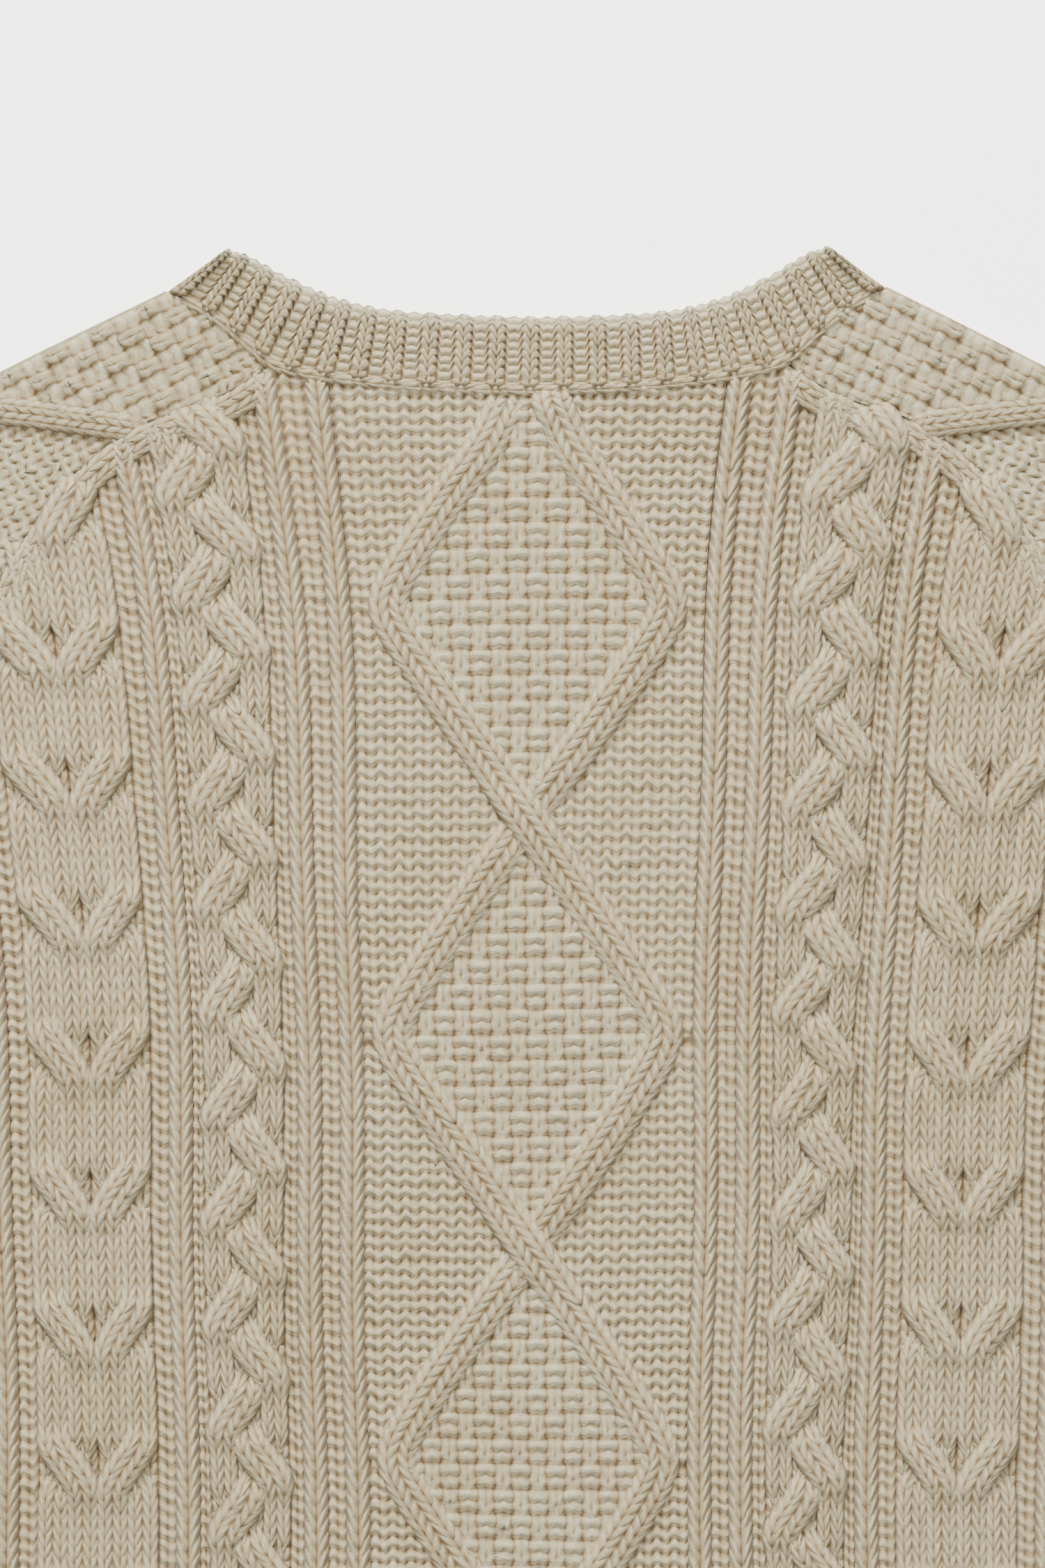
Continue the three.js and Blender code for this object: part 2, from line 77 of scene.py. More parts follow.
# The neckband: seam edge x, y and free edge x, y, from the centre to the fold
BAND_BACK = np.array([
    (0, 0, 0, 24.4), (25, 0.8, 24, 25.2), (49.4, 3, 47, 27.2), (70.7, 6.2, 63, 31),
    (85, 10, 73, 35), (95, 18.4, 84, 40.4), (105, 26.4, 93, 45.6), (115, 32, 99, 47.6),
    (120.5, 34, 101, 48.5)], float)
BAND_FRONT = np.array([
    (0, -61, 0, -40), (30, -56, 25, -36), (60, -41, 48, -23), (83, -20, 66, -8),
    (94, -4, 76, 5), (106, 10, 87, 19), (117, 26, 98, 40), (120.5, 34, 101, 48.5)], float)

# The sleeve: its turn and width at places along its folded upper edge
SLEEVE_START = (120.6, 34.6)
SLEEVE_LENGTH, CUFF_FROM, SLEEVE_CROSSING = 655.0, 589.0, 82.7
SLEEVE_TURN = np.array([(-40, 27), (120, 27), (330, 54), (700, 56)], float)
SLEEVE_WIDTH = np.array([
    (-40, 200), (245, 200), (330, 176), (420, 152), (589, 112), (601, 96), (655, 92)], float)

# Soft creases: middle x, y, direction in degrees, half length, half width, height
CREASES = [
    (262, -196, 118, 52, 11, 2.6), (300, -214, 128, 44, 9, 2.2), (236, -262, 64, 46, 12, 1.6),
    (398, -268, 20, 34, 10, 1.9), (424, -316, 8, 30, 9, 1.6), (226, -452, 98, 70, 16, 1.3)]
print("rows from the rib to the neck:", round(-RIB_TOP_Y / ROW))

# %% [markdown]
# The cloth has a slow swell of its own. The columns spread towards the shoulders, because the
# cables pull the lower back in, so one factor moves every column outwards with height.

# %% How the cloth lies
FAN_LEAST, FAN_GROWTH, FAN_MM = 0.95, 0.22, 120


def fan(y):
    """The share by which columns spread: it grows by e every 120 mm towards the neck."""
    return FAN_LEAST + FAN_GROWTH * np.exp(np.minimum(y, 20) / FAN_MM)


def side_at(y):
    """Half the width of the body at a height, straight above the underarm."""
    return np.interp(-y, -SIDE[:, 1], SIDE[:, 0])


def settle(x, y):
    """Height of the lying cloth: two slow waves, and a bell-shaped ridge for each crease."""
    z = 0.35 * np.sin(x / 61 + 0.7) * np.sin(y / 83 + 0.4) + 0.35 * np.sin((x + y) / 97)
    for crease_x, crease_y, degrees, long, wide, high in CREASES:
        turn = np.radians(degrees)
        dx, dy = np.abs(x) - crease_x, y - crease_y
        along = (dx * np.cos(turn) + dy * np.sin(turn)) / long
        across = (-dx * np.sin(turn) + dy * np.cos(turn)) / wide
        z = z + high * np.exp(-along**2 - across**2)
    return z


def drift(points):
    """The cloth as it was smoothed down by hand: slow shifts of under a millimetre."""
    x, y = points[:, 0], points[:, 1]
    moved = points.copy()
    moved[:, 0] += 0.55 * np.sin(y / 23 + x / 71) + 0.45 * np.sin(y / 57 - x / 39 + 1.0)
    moved[:, 1] += 0.55 * np.sin(x / 27 + y / 83 + 2.0) + 0.40 * np.sin(x / 61 - y / 47)
    return moved


def signed_reach(along):
    """A zigzag that crosses zero at each pitch, with its corners rounded by a hyperbola."""
    t = along / DIAMOND_PITCH
    inward = np.abs(2 * (t - np.floor(t)) - 1)
    whole = np.sqrt(DIAMOND_REACH * (DIAMOND_REACH + 2 * DIAMOND_CORNER))
    reach = DIAMOND_REACH + DIAMOND_CORNER - np.hypot(inward * whole, DIAMOND_CORNER)
    return np.where(np.floor(t) % 2 == 0, reach, -reach)


def unit(vectors):
    """Rows of vectors, each at length 1."""
    return vectors / np.maximum(np.linalg.norm(vectors, axis=1, keepdims=True), 1e-9)


def distances(points):
    """How far along a line each of its points is, from its first."""
    return np.concatenate([[0], np.cumsum(np.linalg.norm(np.diff(points, axis=0), axis=1))])


def smooth_line(points, step=4.0):
    """A Catmull-Rom curve through points, resampled at even steps."""
    p = np.vstack([2 * points[0] - points[1], points, 2 * points[-1] - points[-2]])
    t = np.linspace(0, 1, 12, endpoint=False)[:, None, None]
    a, b, c, d = p[:-3], p[1:-2], p[2:-1], p[3:]
    curve = 0.5 * (2 * b + (c - a) * t + (2 * a - 5 * b + 4 * c - d) * t**2
                   + (3 * b - a - 3 * c + d) * t**3)
    dense = np.vstack([curve.transpose(1, 0, 2).reshape(-1, points.shape[1]), points[-1:]])
    length = distances(dense[:, :2])
    even = np.linspace(0, length[-1], max(2, int(round(length[-1] / step)) + 1))
    return np.stack([np.interp(even, length, dense[:, k]) for k in range(dense.shape[1])], 1)


print("columns spread by", round(float(fan(0) / fan(RIB_TOP_Y)), 2), "at the neck")

# %% [markdown]
# The outlines of the pieces are closed loops. A lattice of stitches is laid over each outline,
# the cells outside are dropped, and the border is drawn onto the line, as a knitter would
# decrease at the edge and then sew along it.

# %% Outlines
def whole(half):
    """A closed loop from its right half, which runs from the centre at the top to the hem."""
    left = half[::-1] * (-1, 1)
    return np.vstack([left, half])


NECK_SEAM = smooth_line(BAND_BACK[:5, :2])
SIDE_SEAM = smooth_line(SIDE[:4], 12)
HEM_SIDE = SIDE[3:]
BACK_LOOP = whole(np.vstack([NECK_SEAM, smooth_line(ARMHOLE)[1:], SIDE_SEAM[1:]]))
HEM_LOOP = whole(HEM_SIDE)
FRONT_LOOP = whole(np.vstack([
    smooth_line(BAND_FRONT[:5, :2]), smooth_line(FRONT_ARMHOLE)[1:], SIDE_SEAM[1:], HEM_SIDE[1:]]))


def widened(loop, by):
    """A loop with each point moved outwards by a distance, square to the loop there."""
    along = unit(np.roll(loop, -1, 0) - np.roll(loop, 1, 0))
    area = np.sum(loop[:, 0] * np.roll(loop[:, 1], -1) - np.roll(loop[:, 0], -1) * loop[:, 1])
    return loop + np.sign(area) * by * np.stack([along[:, 1], -along[:, 0]], 1)


def inside(loop, x, y):
    """True where a point is in a loop: it has an odd number of edges to its right."""
    odd = np.zeros(x.shape, bool)
    for (ax, ay), (bx, by) in zip(loop, np.roll(loop, -1, 0)):
        if ay == by:
            continue
        crosses = (ay > y) != (by > y)
        odd ^= crosses & (x < ax + (y - ay) * (bx - ax) / (by - ay))
    return odd


def allowed(x, y, keep, drop=()):
    """True where a point is inside every loop of keep and outside those of drop."""
    ok = np.ones(x.shape, bool)
    for loop in keep:
        ok &= inside(loop, x, y)
    for loop in drop:
        ok &= ~inside(loop, x, y)
    return ok


def nearest(loops, points):
    """The nearest point on any of the loops, and its distance."""
    best = np.full(len(points), np.inf)
    place = points.copy()
    for loop in loops:
        for a, b in zip(loop, np.roll(loop, -1, 0)):
            along = b - a
            t = np.clip((points - a) @ along / max(along @ along, 1e-9), 0, 1)
            foot = a + t[:, None] * along
            distance = np.linalg.norm(points - foot, axis=1)
            closer = distance < best
            best[closer] = distance[closer]
            place[closer] = foot[closer]
    return place, best


def loop_area(loop):
    """Area of a loop in square metres, by the shoelace sum."""
    x, y = loop.T
    return abs(np.sum(x * np.roll(y, -1) - np.roll(x, -1) * y)) / 2 * MM**2


print("back outline:", len(BACK_LOOP), "points,", round(loop_area(BACK_LOOP), 3), "m2")

# %% [markdown]
# There are two stitches. A knit stitch shows as a V of two plump legs, a purl stitch as a wavy bar.
# Each stitch is four cells wide and four high on one lattice, so that knit and purl can stand
# side by side. Down a knit column the rows of the lattice are V-shaped too, so that the dark
# line between two stitches runs up and outwards, and the crest of each leg slides outwards as it
# climbs, which makes it a plump grain and not a slat. A purl bar arches up, then dips to the
# next. Basket stitch sets two narrow Vs, one on the other, beside two short arched bars.

# %% Stitches
PURL, KNIT, TALL_FOOT, TALL_HEAD, BAR, BAR_HEAD = range(6)
# For each kind, at each quarter of a row: the distance of the crest from the middle of the stitch,
# the height of the crest, and the height on the middle line
CREST_OFF = np.array([(.25,) * 4, (.15, .20, .26, .31), (.15, .17, .18, .17), (.17, .19, .22, .24),
                      (.27,) * 4, (.30,) * 4])
CREST_UP = np.array([(0,) * 4, (.60, .95, 1, .88), (.52, .88, 1, .94), (.92, 1, .98, .74),
                     (.42, .76, .90, .72), (.46, .90, 1, .94)])
MIDDLE_UP = np.array([(0,) * 4, (-.12, .10, .28, .18), (.50, .60, .34, .08), (.36, .44, .44, .36),
                      (.10, .70, .92, .74), (.36, 1, 1.16, 1.06)])
# How far the middle of a bar arches up, in rows
ARCH = np.array([(.08, .14, .16, .20), (.22, .14, .06, .0)])
# Between two knit columns, beside one knit column, and between a tall stitch and a bar: beside
# the stitch's foot, then beside its head
BETWEEN_UP = np.array([-.06, .08, .22, .14])
BESIDE_UP = np.array([0, .20, .36, .20])
CORNER_UP = np.array([(-.50, .05, .20, .28), (.0, .18, .30, .24)])
# How far a bar reaches over the foot and over the head of the tall stitch beside it
OVERLAP = np.array([(0, .06, .03, .0), (.0, .08, .10, .08)])
# A purl bar, at each quarter of its width and each quarter of a row
BAR_UP = np.array([(-.15, .42, .70, .38), (.74, .92, 1, .88), (-.20, .40, .68, .38),
                   (.70, .88, .98, .86)])
SLANT = 0.8
PURL_WAVE = 0.23
# How much the stitches scatter: crests sideways, points up the chart, heights, and waves of purl
CREST_SCATTER, ROW_SCATTER, HEIGHT_SCATTER, WAVE_SCATTER = 0.014, 0.06, 0.09, 0.30


def marked(share, across, along, upright):
    """What the wool reads at a point: its share of the height, which sets the painted shade, its
    place on the chart in mm, and 1 where the yarn runs up the chart or 0 where it runs across."""
    return np.stack(np.broadcast_arrays(share, across, along, upright), -1)


def lattice(kind, low, high, seed, across=4, slant=SLANT, uneven=1.0):
    """Points of a chart of stitches: U counts columns, V counts rows, and H is the height.

    The height runs from low, in a valley, to high, on a crest, for each stitch of the chart, and
    its share, the first of the marks, from 0 to 1; the wool paints shade where the share is low.
    Uneven scales the scatter of the stitches.
    """
    rng = np.random.default_rng(seed)
    rows, columns = kind.shape
    i, j = np.arange(4 * rows + 1), np.arange(across * columns + 1)
    r, c = np.minimum(i // 4, rows - 1), np.minimum(j // across, columns - 1)
    b = np.where(i == 4 * rows, 0, i % 4)
    a = np.where(j == across * columns, 0, j % across)
    before = np.where(a == 0, np.clip(j // across - 1, 0, columns - 1), c)
    here, left = kind[np.ix_(r, c)], kind[np.ix_(r, before)]
    quarter = np.broadcast_to(b[:, None], here.shape)
    place = np.broadcast_to(a[None, :], here.shape)
    edge, centre = place == 0, place == across // 2
    jitter = [noise[np.ix_(r, c)] for noise in rng.normal(0, uneven, (5,) + kind.shape)]

    off = CREST_OFF[here, quarter] + CREST_SCATTER * jitter[0]
    flank = np.zeros(here.shape)
    if across == 8:
        beside = np.minimum(0.46 * off, 0.46 * (0.5 - off))
        flank = np.select([np.isin(place, (1, 7)), np.isin(place, (3, 5))], [1, -1], 0) * beside
    slide = np.where(~edge & ~centre, np.sign(place - across / 2) * (off + flank),
                     place / across - 0.5)
    tall, left_tall = (np.abs(k - 2.5) < 1 for k in (here, left))
    mixed = edge & (tall != left_tall) & (here != KNIT) & (left != KNIT)
    half = np.broadcast_to(r[:, None] % 2, here.shape)
    slide = slide + np.where(mixed, np.where(tall, 1, -1) * OVERLAP[half, quarter], 0)
    u = c[None, :] + 0.5 + slide

    inner = np.where(edge, 1.0, 2 * np.abs(slide)) * slant
    both = (here == KNIT) & (left == KNIT)
    one = edge & ~both & ((here == KNIT) | (left == KNIT))
    climb = np.where(one, 0.5 * slant, np.where((here == KNIT) & (both | ~edge), inner, 0))
    v = r[:, None] + quarter / 4 + (i == 4 * rows)[:, None] * 1.0
    ends = np.clip(np.minimum(v, rows - v) / 2, 0, 1)
    sway = PURL_WAVE * (1 + WAVE_SCATTER * jitter[3]) * np.sin(2 * np.pi * place / across)
    arch = np.where((here >= BAR) & centre, ARCH[np.clip(here - BAR, 0, 1), quarter], 0)
    sway = np.where((here == PURL) & ~edge, sway, 0)
    v = v + (climb + arch + sway + ROW_SCATTER * jitter[1] * ~edge) * ends

    wavy = BAR_UP[(4 * place // across) % 4, quarter]
    crest = CREST_UP[here, quarter] * np.where(flank != 0, 0.72, 1)
    groove = 0.4 if across == 8 else 1.0
    inside_up = np.where(centre, groove * MIDDLE_UP[here, quarter], crest)
    inside_up = np.where(here == PURL, wavy, inside_up)
    edge_up = np.select([(here == PURL) & (left == PURL), both, mixed],
                        [wavy, BETWEEN_UP[quarter], CORNER_UP[half, quarter]], BESIDE_UP[quarter])
    share = np.where(edge, edge_up, inside_up)
    floor, top = low[np.ix_(r, c)], high[np.ix_(r, c)]
    floor = np.where(edge, np.minimum(floor, low[np.ix_(r, before)]), floor)
    top = np.where(edge, np.minimum(top, high[np.ix_(r, before)]), top)
    height = floor + (top - floor) * share * (1 + HEIGHT_SCATTER * jitter[2] * ~edge)
    u[:, 0], u[:, -1] = 0, columns
    # The share also sets painted shade; in the deepest valleys it is lowered further, so the painted
    # shade there is darker.
    share = np.clip(share, 0, 1) ** (1 + 1.4 * np.clip(-2.4 - floor, 0, 1))
    upright = ((here == KNIT) | tall) * 1.0
    return u, v, height, marked(share, j[None, :] * STITCH / across, i[:, None] * ROW / 4, upright)


print("kinds of stitch:", len(CREST_OFF))

# %% [markdown]
# A piece of cloth is a closed wall: the relief on top, a plain flat inside, and a skirt that joins
# them round the border. Cells are kept when their middle is in the outline. Two cells that touch
# at one corner only would pinch the border, so one of them is dropped.

# %% Walls of cloth
def without_pinches(kept):
    """A mask of cells with no two that touch only at a corner."""
    for _ in range(3):
        a, b, c, d = kept[:-1, :-1], kept[:-1, 1:], kept[1:, :-1], kept[1:, 1:]
        pinch_down, pinch_up = a & d & ~b & ~c, b & c & ~a & ~d
        kept = kept.copy()
        kept[:-1, :-1] &= ~pinch_down
        kept[:-1, 1:] &= ~pinch_up
        count = np.zeros(kept.shape, int)
        count[1:] += kept[:-1]
        count[:-1] += kept[1:]
        count[:, 1:] += kept[:, :-1]
        count[:, :-1] += kept[:, 1:]
        kept &= count > 1
    return kept


def wall(x, y, z, marks, keep, drop, bottom, snap=2.6, tuck=0.0):
    """Points, faces and marks of a closed wall over a lattice, inside the loops of keep and
    outside those of drop. Border points move to the nearest loop when they are close to one.
    tuck draws the foot of the border in."""
    mid = [(q[:-1, :-1] + q[:-1, 1:] + q[1:, 1:] + q[1:, :-1]) / 4 for q in (x, y)]
    kept = without_pinches(allowed(*mid, keep, drop))
    index = np.arange(x.size).reshape(x.shape)
    quads = np.stack([index[:-1, :-1], index[:-1, 1:], index[1:, 1:], index[1:, :-1]], -1)[kept]
    used, quads = np.unique(quads, return_inverse=True)
    quads = quads.reshape(-1, 4)
    points = np.stack([x.ravel()[used], y.ravel()[used], z.ravel()[used]], 1)
    marks = marks.reshape(-1, 4)[used]

    a, b = quads.ravel(), np.roll(quads, -1, 1).ravel()
    count = len(points)
    border = ~np.isin(b * count + a, a * count + b)
    a, b = a[border], b[border]
    rim = np.unique(a)
    place, distance = nearest(keep + drop, points[rim, :2])
    near = distance < snap
    points[rim[near], :2] = place[near]
    middle = points[quads].mean(1)
    total, times = np.zeros((count, 3)), np.zeros(count)
    for k in range(4):
        np.add.at(total, quads[:, k], middle)
        np.add.at(times, quads[:, k], 1)
    inward = unit((total[rim] / times[rim, None] - points[rim])[:, :2])
    foot = np.column_stack([points[rim, :2] + tuck * inward, np.full(len(rim), float(bottom))])
    below = np.full(count, -1)
    below[rim] = count + np.arange(len(rim))
    skirt = np.stack([b, a, below[a], below[b]], 1)
    points = np.vstack([points, foot])
    # The foot of the skirt gets a share of 0.6, a painted shade down the border.
    marks = np.vstack([marks, marks[rim] * (0, 1, 1, 1) + (0.6, 0, 0, 0)])
    return points, np.vstack([quads, skirt]), marks, rings(below[a], below[b])


def rings(starts, ends):
    """The closed rings that directed edges form."""
    onward = dict(zip(starts.tolist(), ends.tolist()))
    made = []
    while onward:
        ring = [next(iter(onward))]
        while ring[-1] in onward:
            ring.append(onward.pop(ring[-1]))
        made.append(ring[:-1])
    return made


def added(name, data):
    """An object in the scene."""
    made = bpy.data.objects.new(name, data)
    bpy.context.scene.collection.objects.link(made)
    return made


def piece(name, parts, material):
    """One object from closed parts: points in mm, quads, marks, and rings to close."""
    points, quads, marks, caps = [], [], [], []
    count = 0
    for part_points, part_quads, part_marks, part_rings in parts:
        points.append(part_points)
        quads.append(part_quads + count)
        marks.append(part_marks)
        caps += [[count + k for k in ring] for ring in part_rings]
        count += len(part_points)
    mesh = bpy.data.meshes.new(name)
    placed = (drift(np.vstack(points)) + (0, NECK_Y, 0)) * MM
    mesh.from_pydata(placed.tolist(), [], np.vstack(quads).tolist() + caps)
    marks = np.vstack(marks).astype(np.float32)
    for key, sort, slot, values in (("painted_shade_share", "FLOAT", "value", marks[:, 0]),
                                    ("yarn", "FLOAT_VECTOR", "vector", marks[:, 1:])):
        mesh.attributes.new(key, sort, "POINT").data.foreach_set(slot, values.ravel())
    bm = bmesh.new()
    bm.from_mesh(mesh)
    bmesh.ops.recalc_face_normals(bm, faces=bm.faces)
    open_edges = sum(1 for e in bm.edges if not e.is_manifold)
    bm.to_mesh(mesh)
    bm.free()
    smooth = np.ones(len(mesh.polygons), bool)
    smooth[len(smooth) - len(caps):] = False
    mesh.polygons.foreach_set("use_smooth", smooth)
    mesh.materials.append(material)
    made = added(name, mesh)
    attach(made, "root")
    mesh.calc_loop_triangles()
    print(f"{name}: {len(mesh.loop_triangles)} triangles, {open_edges} edges without two faces")
    return made


# %% [markdown]
# A cable is a strand of a few knit columns that leaves its lane. It is a closed ribbon carried
# along a path: the stitches on its back, two rounded sides and a flat underside. The strand that
# crosses in front rises and is stretched there, so its grains close up into ropes. The one behind
# dives, and the ends dive under the seam. In a slanting strand the rows stay neither level nor
# square to the strand: real ones settle half way, so these do too.

# %% Strands
LEVEL_SHARE = 0.45  # how far the rows of a slanting strand keep to the rows of the cloth
END_DIVE = 3.4


def strand(path, columns, width, lift, seed, rows_along=None, leg=1.5, crown=1.5, deep=2.6, pitch=ROW,
           across=4, slant=SLANT, end_dive=7.0, soft=0.0):
    """A ribbon of knit columns along a path of (x, y) points, from its foot to its head.

    width, lift and crown may change along the path. Points stand off the path by their column,
    and rise by the lift, a crown that falls off with the fourth power of the distance from the
    middle, and the relief of the stitches. Where rows_along gives the direction of the cloth's
    rows, the rows of a slanting strand lie half way between that and square to the strand.
    Where it is soft, up to 1, the strand is stretched, and its stitches close up. Below 0 they are
    set apart.
    """
    length = np.linalg.norm(np.diff(path, axis=0), axis=1)
    tangent = unit(np.gradient(path, distances(path), axis=0))
    square = np.stack([tangent[:, 1], -tangent[:, 0]], 1)
    if rows_along is None:
        sideways = square
    else:
        skewed = unit(LEVEL_SHARE * np.broadcast_to(rows_along, path.shape)
                      + (1 - LEVEL_SHARE) * square)
        facing = np.abs(np.sum(skewed * square, 1, keepdims=True))
        sideways = skewed / np.maximum(facing, 0.62)
        length = length * facing[1:, 0]
    along = np.concatenate([[0], np.cumsum(length)])
    rows = max(2, int(round(along[-1] / pitch)))
    kind = np.full((rows, columns), KNIT)
    u, v, h, marks = lattice(kind, np.zeros(kind.shape), np.full(kind.shape, leg), seed, across,
                             slant=slant)
    s = np.clip(v * along[-1] / rows, 0, along[-1])
    width, lift, crown, soft = (np.broadcast_to(q, along.shape) for q in (width, lift, crown, soft))
    x, y, dx, dy, w, up, bulge, closed = (np.interp(s, along, q) for q in (
        path[:, 0], path[:, 1], sideways[:, 0], sideways[:, 1], width, lift, crown, soft))
    on_leg = np.arange(u.shape[1]) % (across // 2) > 0
    # Filling the gaps changes the share too: the painted shade between grains is lighter where they
    # close up and darker where they are set apart.
    filled = 0.75 * closed * np.clip(0.85 - marks[..., 0], 0, 1) * on_leg
    h = (h + leg * filled) * (1 - 0.15 * closed)
    marks[..., 0] = np.maximum(marks[..., 0] + filled, 0)
    off = (u / columns - 0.5) * w
    x, y = x + dx * off, y + dy * off
    bow = 1 - (2 * u / columns - 1) ** 4
    base = HIGH_TOP + settle(x, y) + up - end_dive_at(s, along[-1], end_dive)
    z = base + h * (0.30 + 0.70 * bow) + bulge * (bow - 1)
    foot = np.maximum(np.minimum(z[:, [0, -1]], base[:, [0, -1]] - deep + 1.0), HIGH_BOTTOM + 0.1)
    foot = np.minimum(foot, z[:, [0, -1]] - 0.2)
    around = np.stack([np.column_stack([q, q[:, -1:], q[:, :1]]) for q in (x, y, z)], -1)
    around[:, -2:, 2] = foot[:, ::-1]
    points = around.reshape(-1, 3)
    # The feet of the sides get a share of 0, painted shade where the strand meets the cloth.
    marks = np.concatenate([marks, marks[:, [-1, 0]] * (0, 1, 1, 1)], 1).reshape(-1, 4)
    index = np.arange(len(points)).reshape(around.shape[:2])
    after = np.roll(index, -1, 1)
    faces = np.stack([index[:-1], after[:-1], after[1:], index[1:]], -1).reshape(-1, 4)
    return points, faces, marks, [index[0].tolist(), index[-1].tolist()]


def end_dive_at(s, length, over):
    """How far a strand's ends sink, easing to none within the given distance."""
    near = np.clip(1 - np.minimum(s, length - s) / over, 0, 1)
    return END_DIVE * near**2


def runs_inside(path, keep, drop=()):
    """The longest run of a path's points that is inside every loop of keep and outside drop."""
    ok = allowed(path[:, 0], path[:, 1], keep, drop)
    starts = np.flatnonzero(ok & ~np.roll(ok, 1) | (ok & (np.arange(len(ok)) == 0)))
    best = (0, 0)
    for start in starts:
        stop = start
        while stop < len(ok) and ok[stop]:
            stop += 1
        if stop - start > best[1] - best[0]:
            best = (start, stop)
    return slice(*best)


def ease(t):
    """A smooth step from 0 to 1."""
    t = np.clip(t, 0, 1)
    return t * t * (3 - 2 * t)


def hump(t):
    """A smooth bump: 1 at 0, and 0 from 1 on."""
    return np.cos(np.clip(np.abs(t), 0, 1) * np.pi / 2) ** 2


def lane_path(phase, moves, first, period, span):
    """Lane and lift of a strand from its crossings: (phase, lane before, lane after, in front).

    Each move eases from one lane to the next over span. In front it rises slowly from the cloth
    and ends abruptly where the next stitches grow over it; behind it dives in the middle.
    """
    lane, lift = np.full(phase.shape, float(first)), np.zeros(phase.shape)
    cycle = phase % period
    for at, before, after, front in moves:
        for turn in (-period, 0, period):
            t = (cycle - at - turn) / span
            lane = lane + (after - before) * ease(t + 0.5)
            rise = ease((t + 0.85) / 0.5) * ease((0.72 - t) / 0.34)
            lift = lift + np.where(front > 0, rise, -hump(t / 0.62))
        lane = lane - (after - before)
    return lane, lift


# %% [markdown]
# Wool has no gloss. Its fibres scatter light, so crests look pale and soft. The deep places
# between stitches are given a painted warm brown shade. The material mixes the wool's own tone on
# the crests with two tones of painted shade, by the lattice point's share of its height, adds the
# slow unevenness of undyed yarn, and breaks the surface up with fibre-sized bumps. Plies run along
# the yarn, so they are streaks drawn on the chart's own rows and columns: up a knit leg, and across a
# purl bar.

# %% Wool
def tone(hex_colour):
    """An sRGB hex colour as linear RGBA."""
    parts = np.array([int(hex_colour[k:k + 2], 16) for k in (1, 3, 5)]) / 255
    linear = np.where(parts <= 0.04045, parts / 12.92, ((parts + 0.055) / 1.055) ** 2.4)
    return (*linear.tolist(), 1.0)


def node(tree, kind, settings=(), inputs=(), links=()):
    """Adds a node: settings are attributes, inputs are socket values, links feed its sockets."""
    made = tree.nodes.new(kind)
    for key, value in dict(settings).items():
        setattr(made, key, value)
    for key, value in dict(inputs).items():
        made.inputs[key].default_value = value
    for key, socket in dict(links).items():
        tree.links.new(socket, made.inputs[key])
    return made


# The crest tone is the wool's own colour; the middle and hollow tones are painted shade for the sides
# and the deep places between stitches.
CREST_TONE, MIDDLE_PAINTED_SHADE, HOLLOW_PAINTED_SHADE = "#cbc4a4", "#b8a884", "#795c3b"
FIBRE_MM, SLUB_MM, LOT_MM = 0.5, 2.4, 55.0
PLY_MM, PLY_LENGTH_MM = 0.6, 5.0  # drawn about three times as coarse as real plies, so they show


def ramp(tree, factor, stops):
    """The colour of a ramp through stops of a place from 0 to 1 and a hex colour."""
    made = node(tree, "ShaderNodeValToRGB", (), (), {"Fac": factor})
    elements = made.color_ramp.elements
    for element, (at, colour) in zip((elements[0], elements[1]), (stops[0], stops[-1])):
        element.color, element.position = tone(colour), at
    for at, colour in stops[1:-1]:
        elements.new(at).color = tone(colour)
    return made.outputs["Color"]


def noise(tree, place, scale, detail):
    """Noise from 0 to 1 at a place."""
    return node(tree, "ShaderNodeTexNoise", (), {"Scale": scale, "Detail": detail},
                {"Vector": place}).outputs["Fac"]


def started(name, values):
    """A material with values on its shader's sockets, its tree, its shader, and its place."""
    made = bpy.data.materials.new(name)
    made.use_nodes = True
    tree = made.node_tree
    shader = tree.nodes["Principled BSDF"]
    for key, value in values.items():
        shader.inputs[key].default_value = value
    return made, tree, shader, node(tree, "ShaderNodeTexCoord").outputs["Object"]


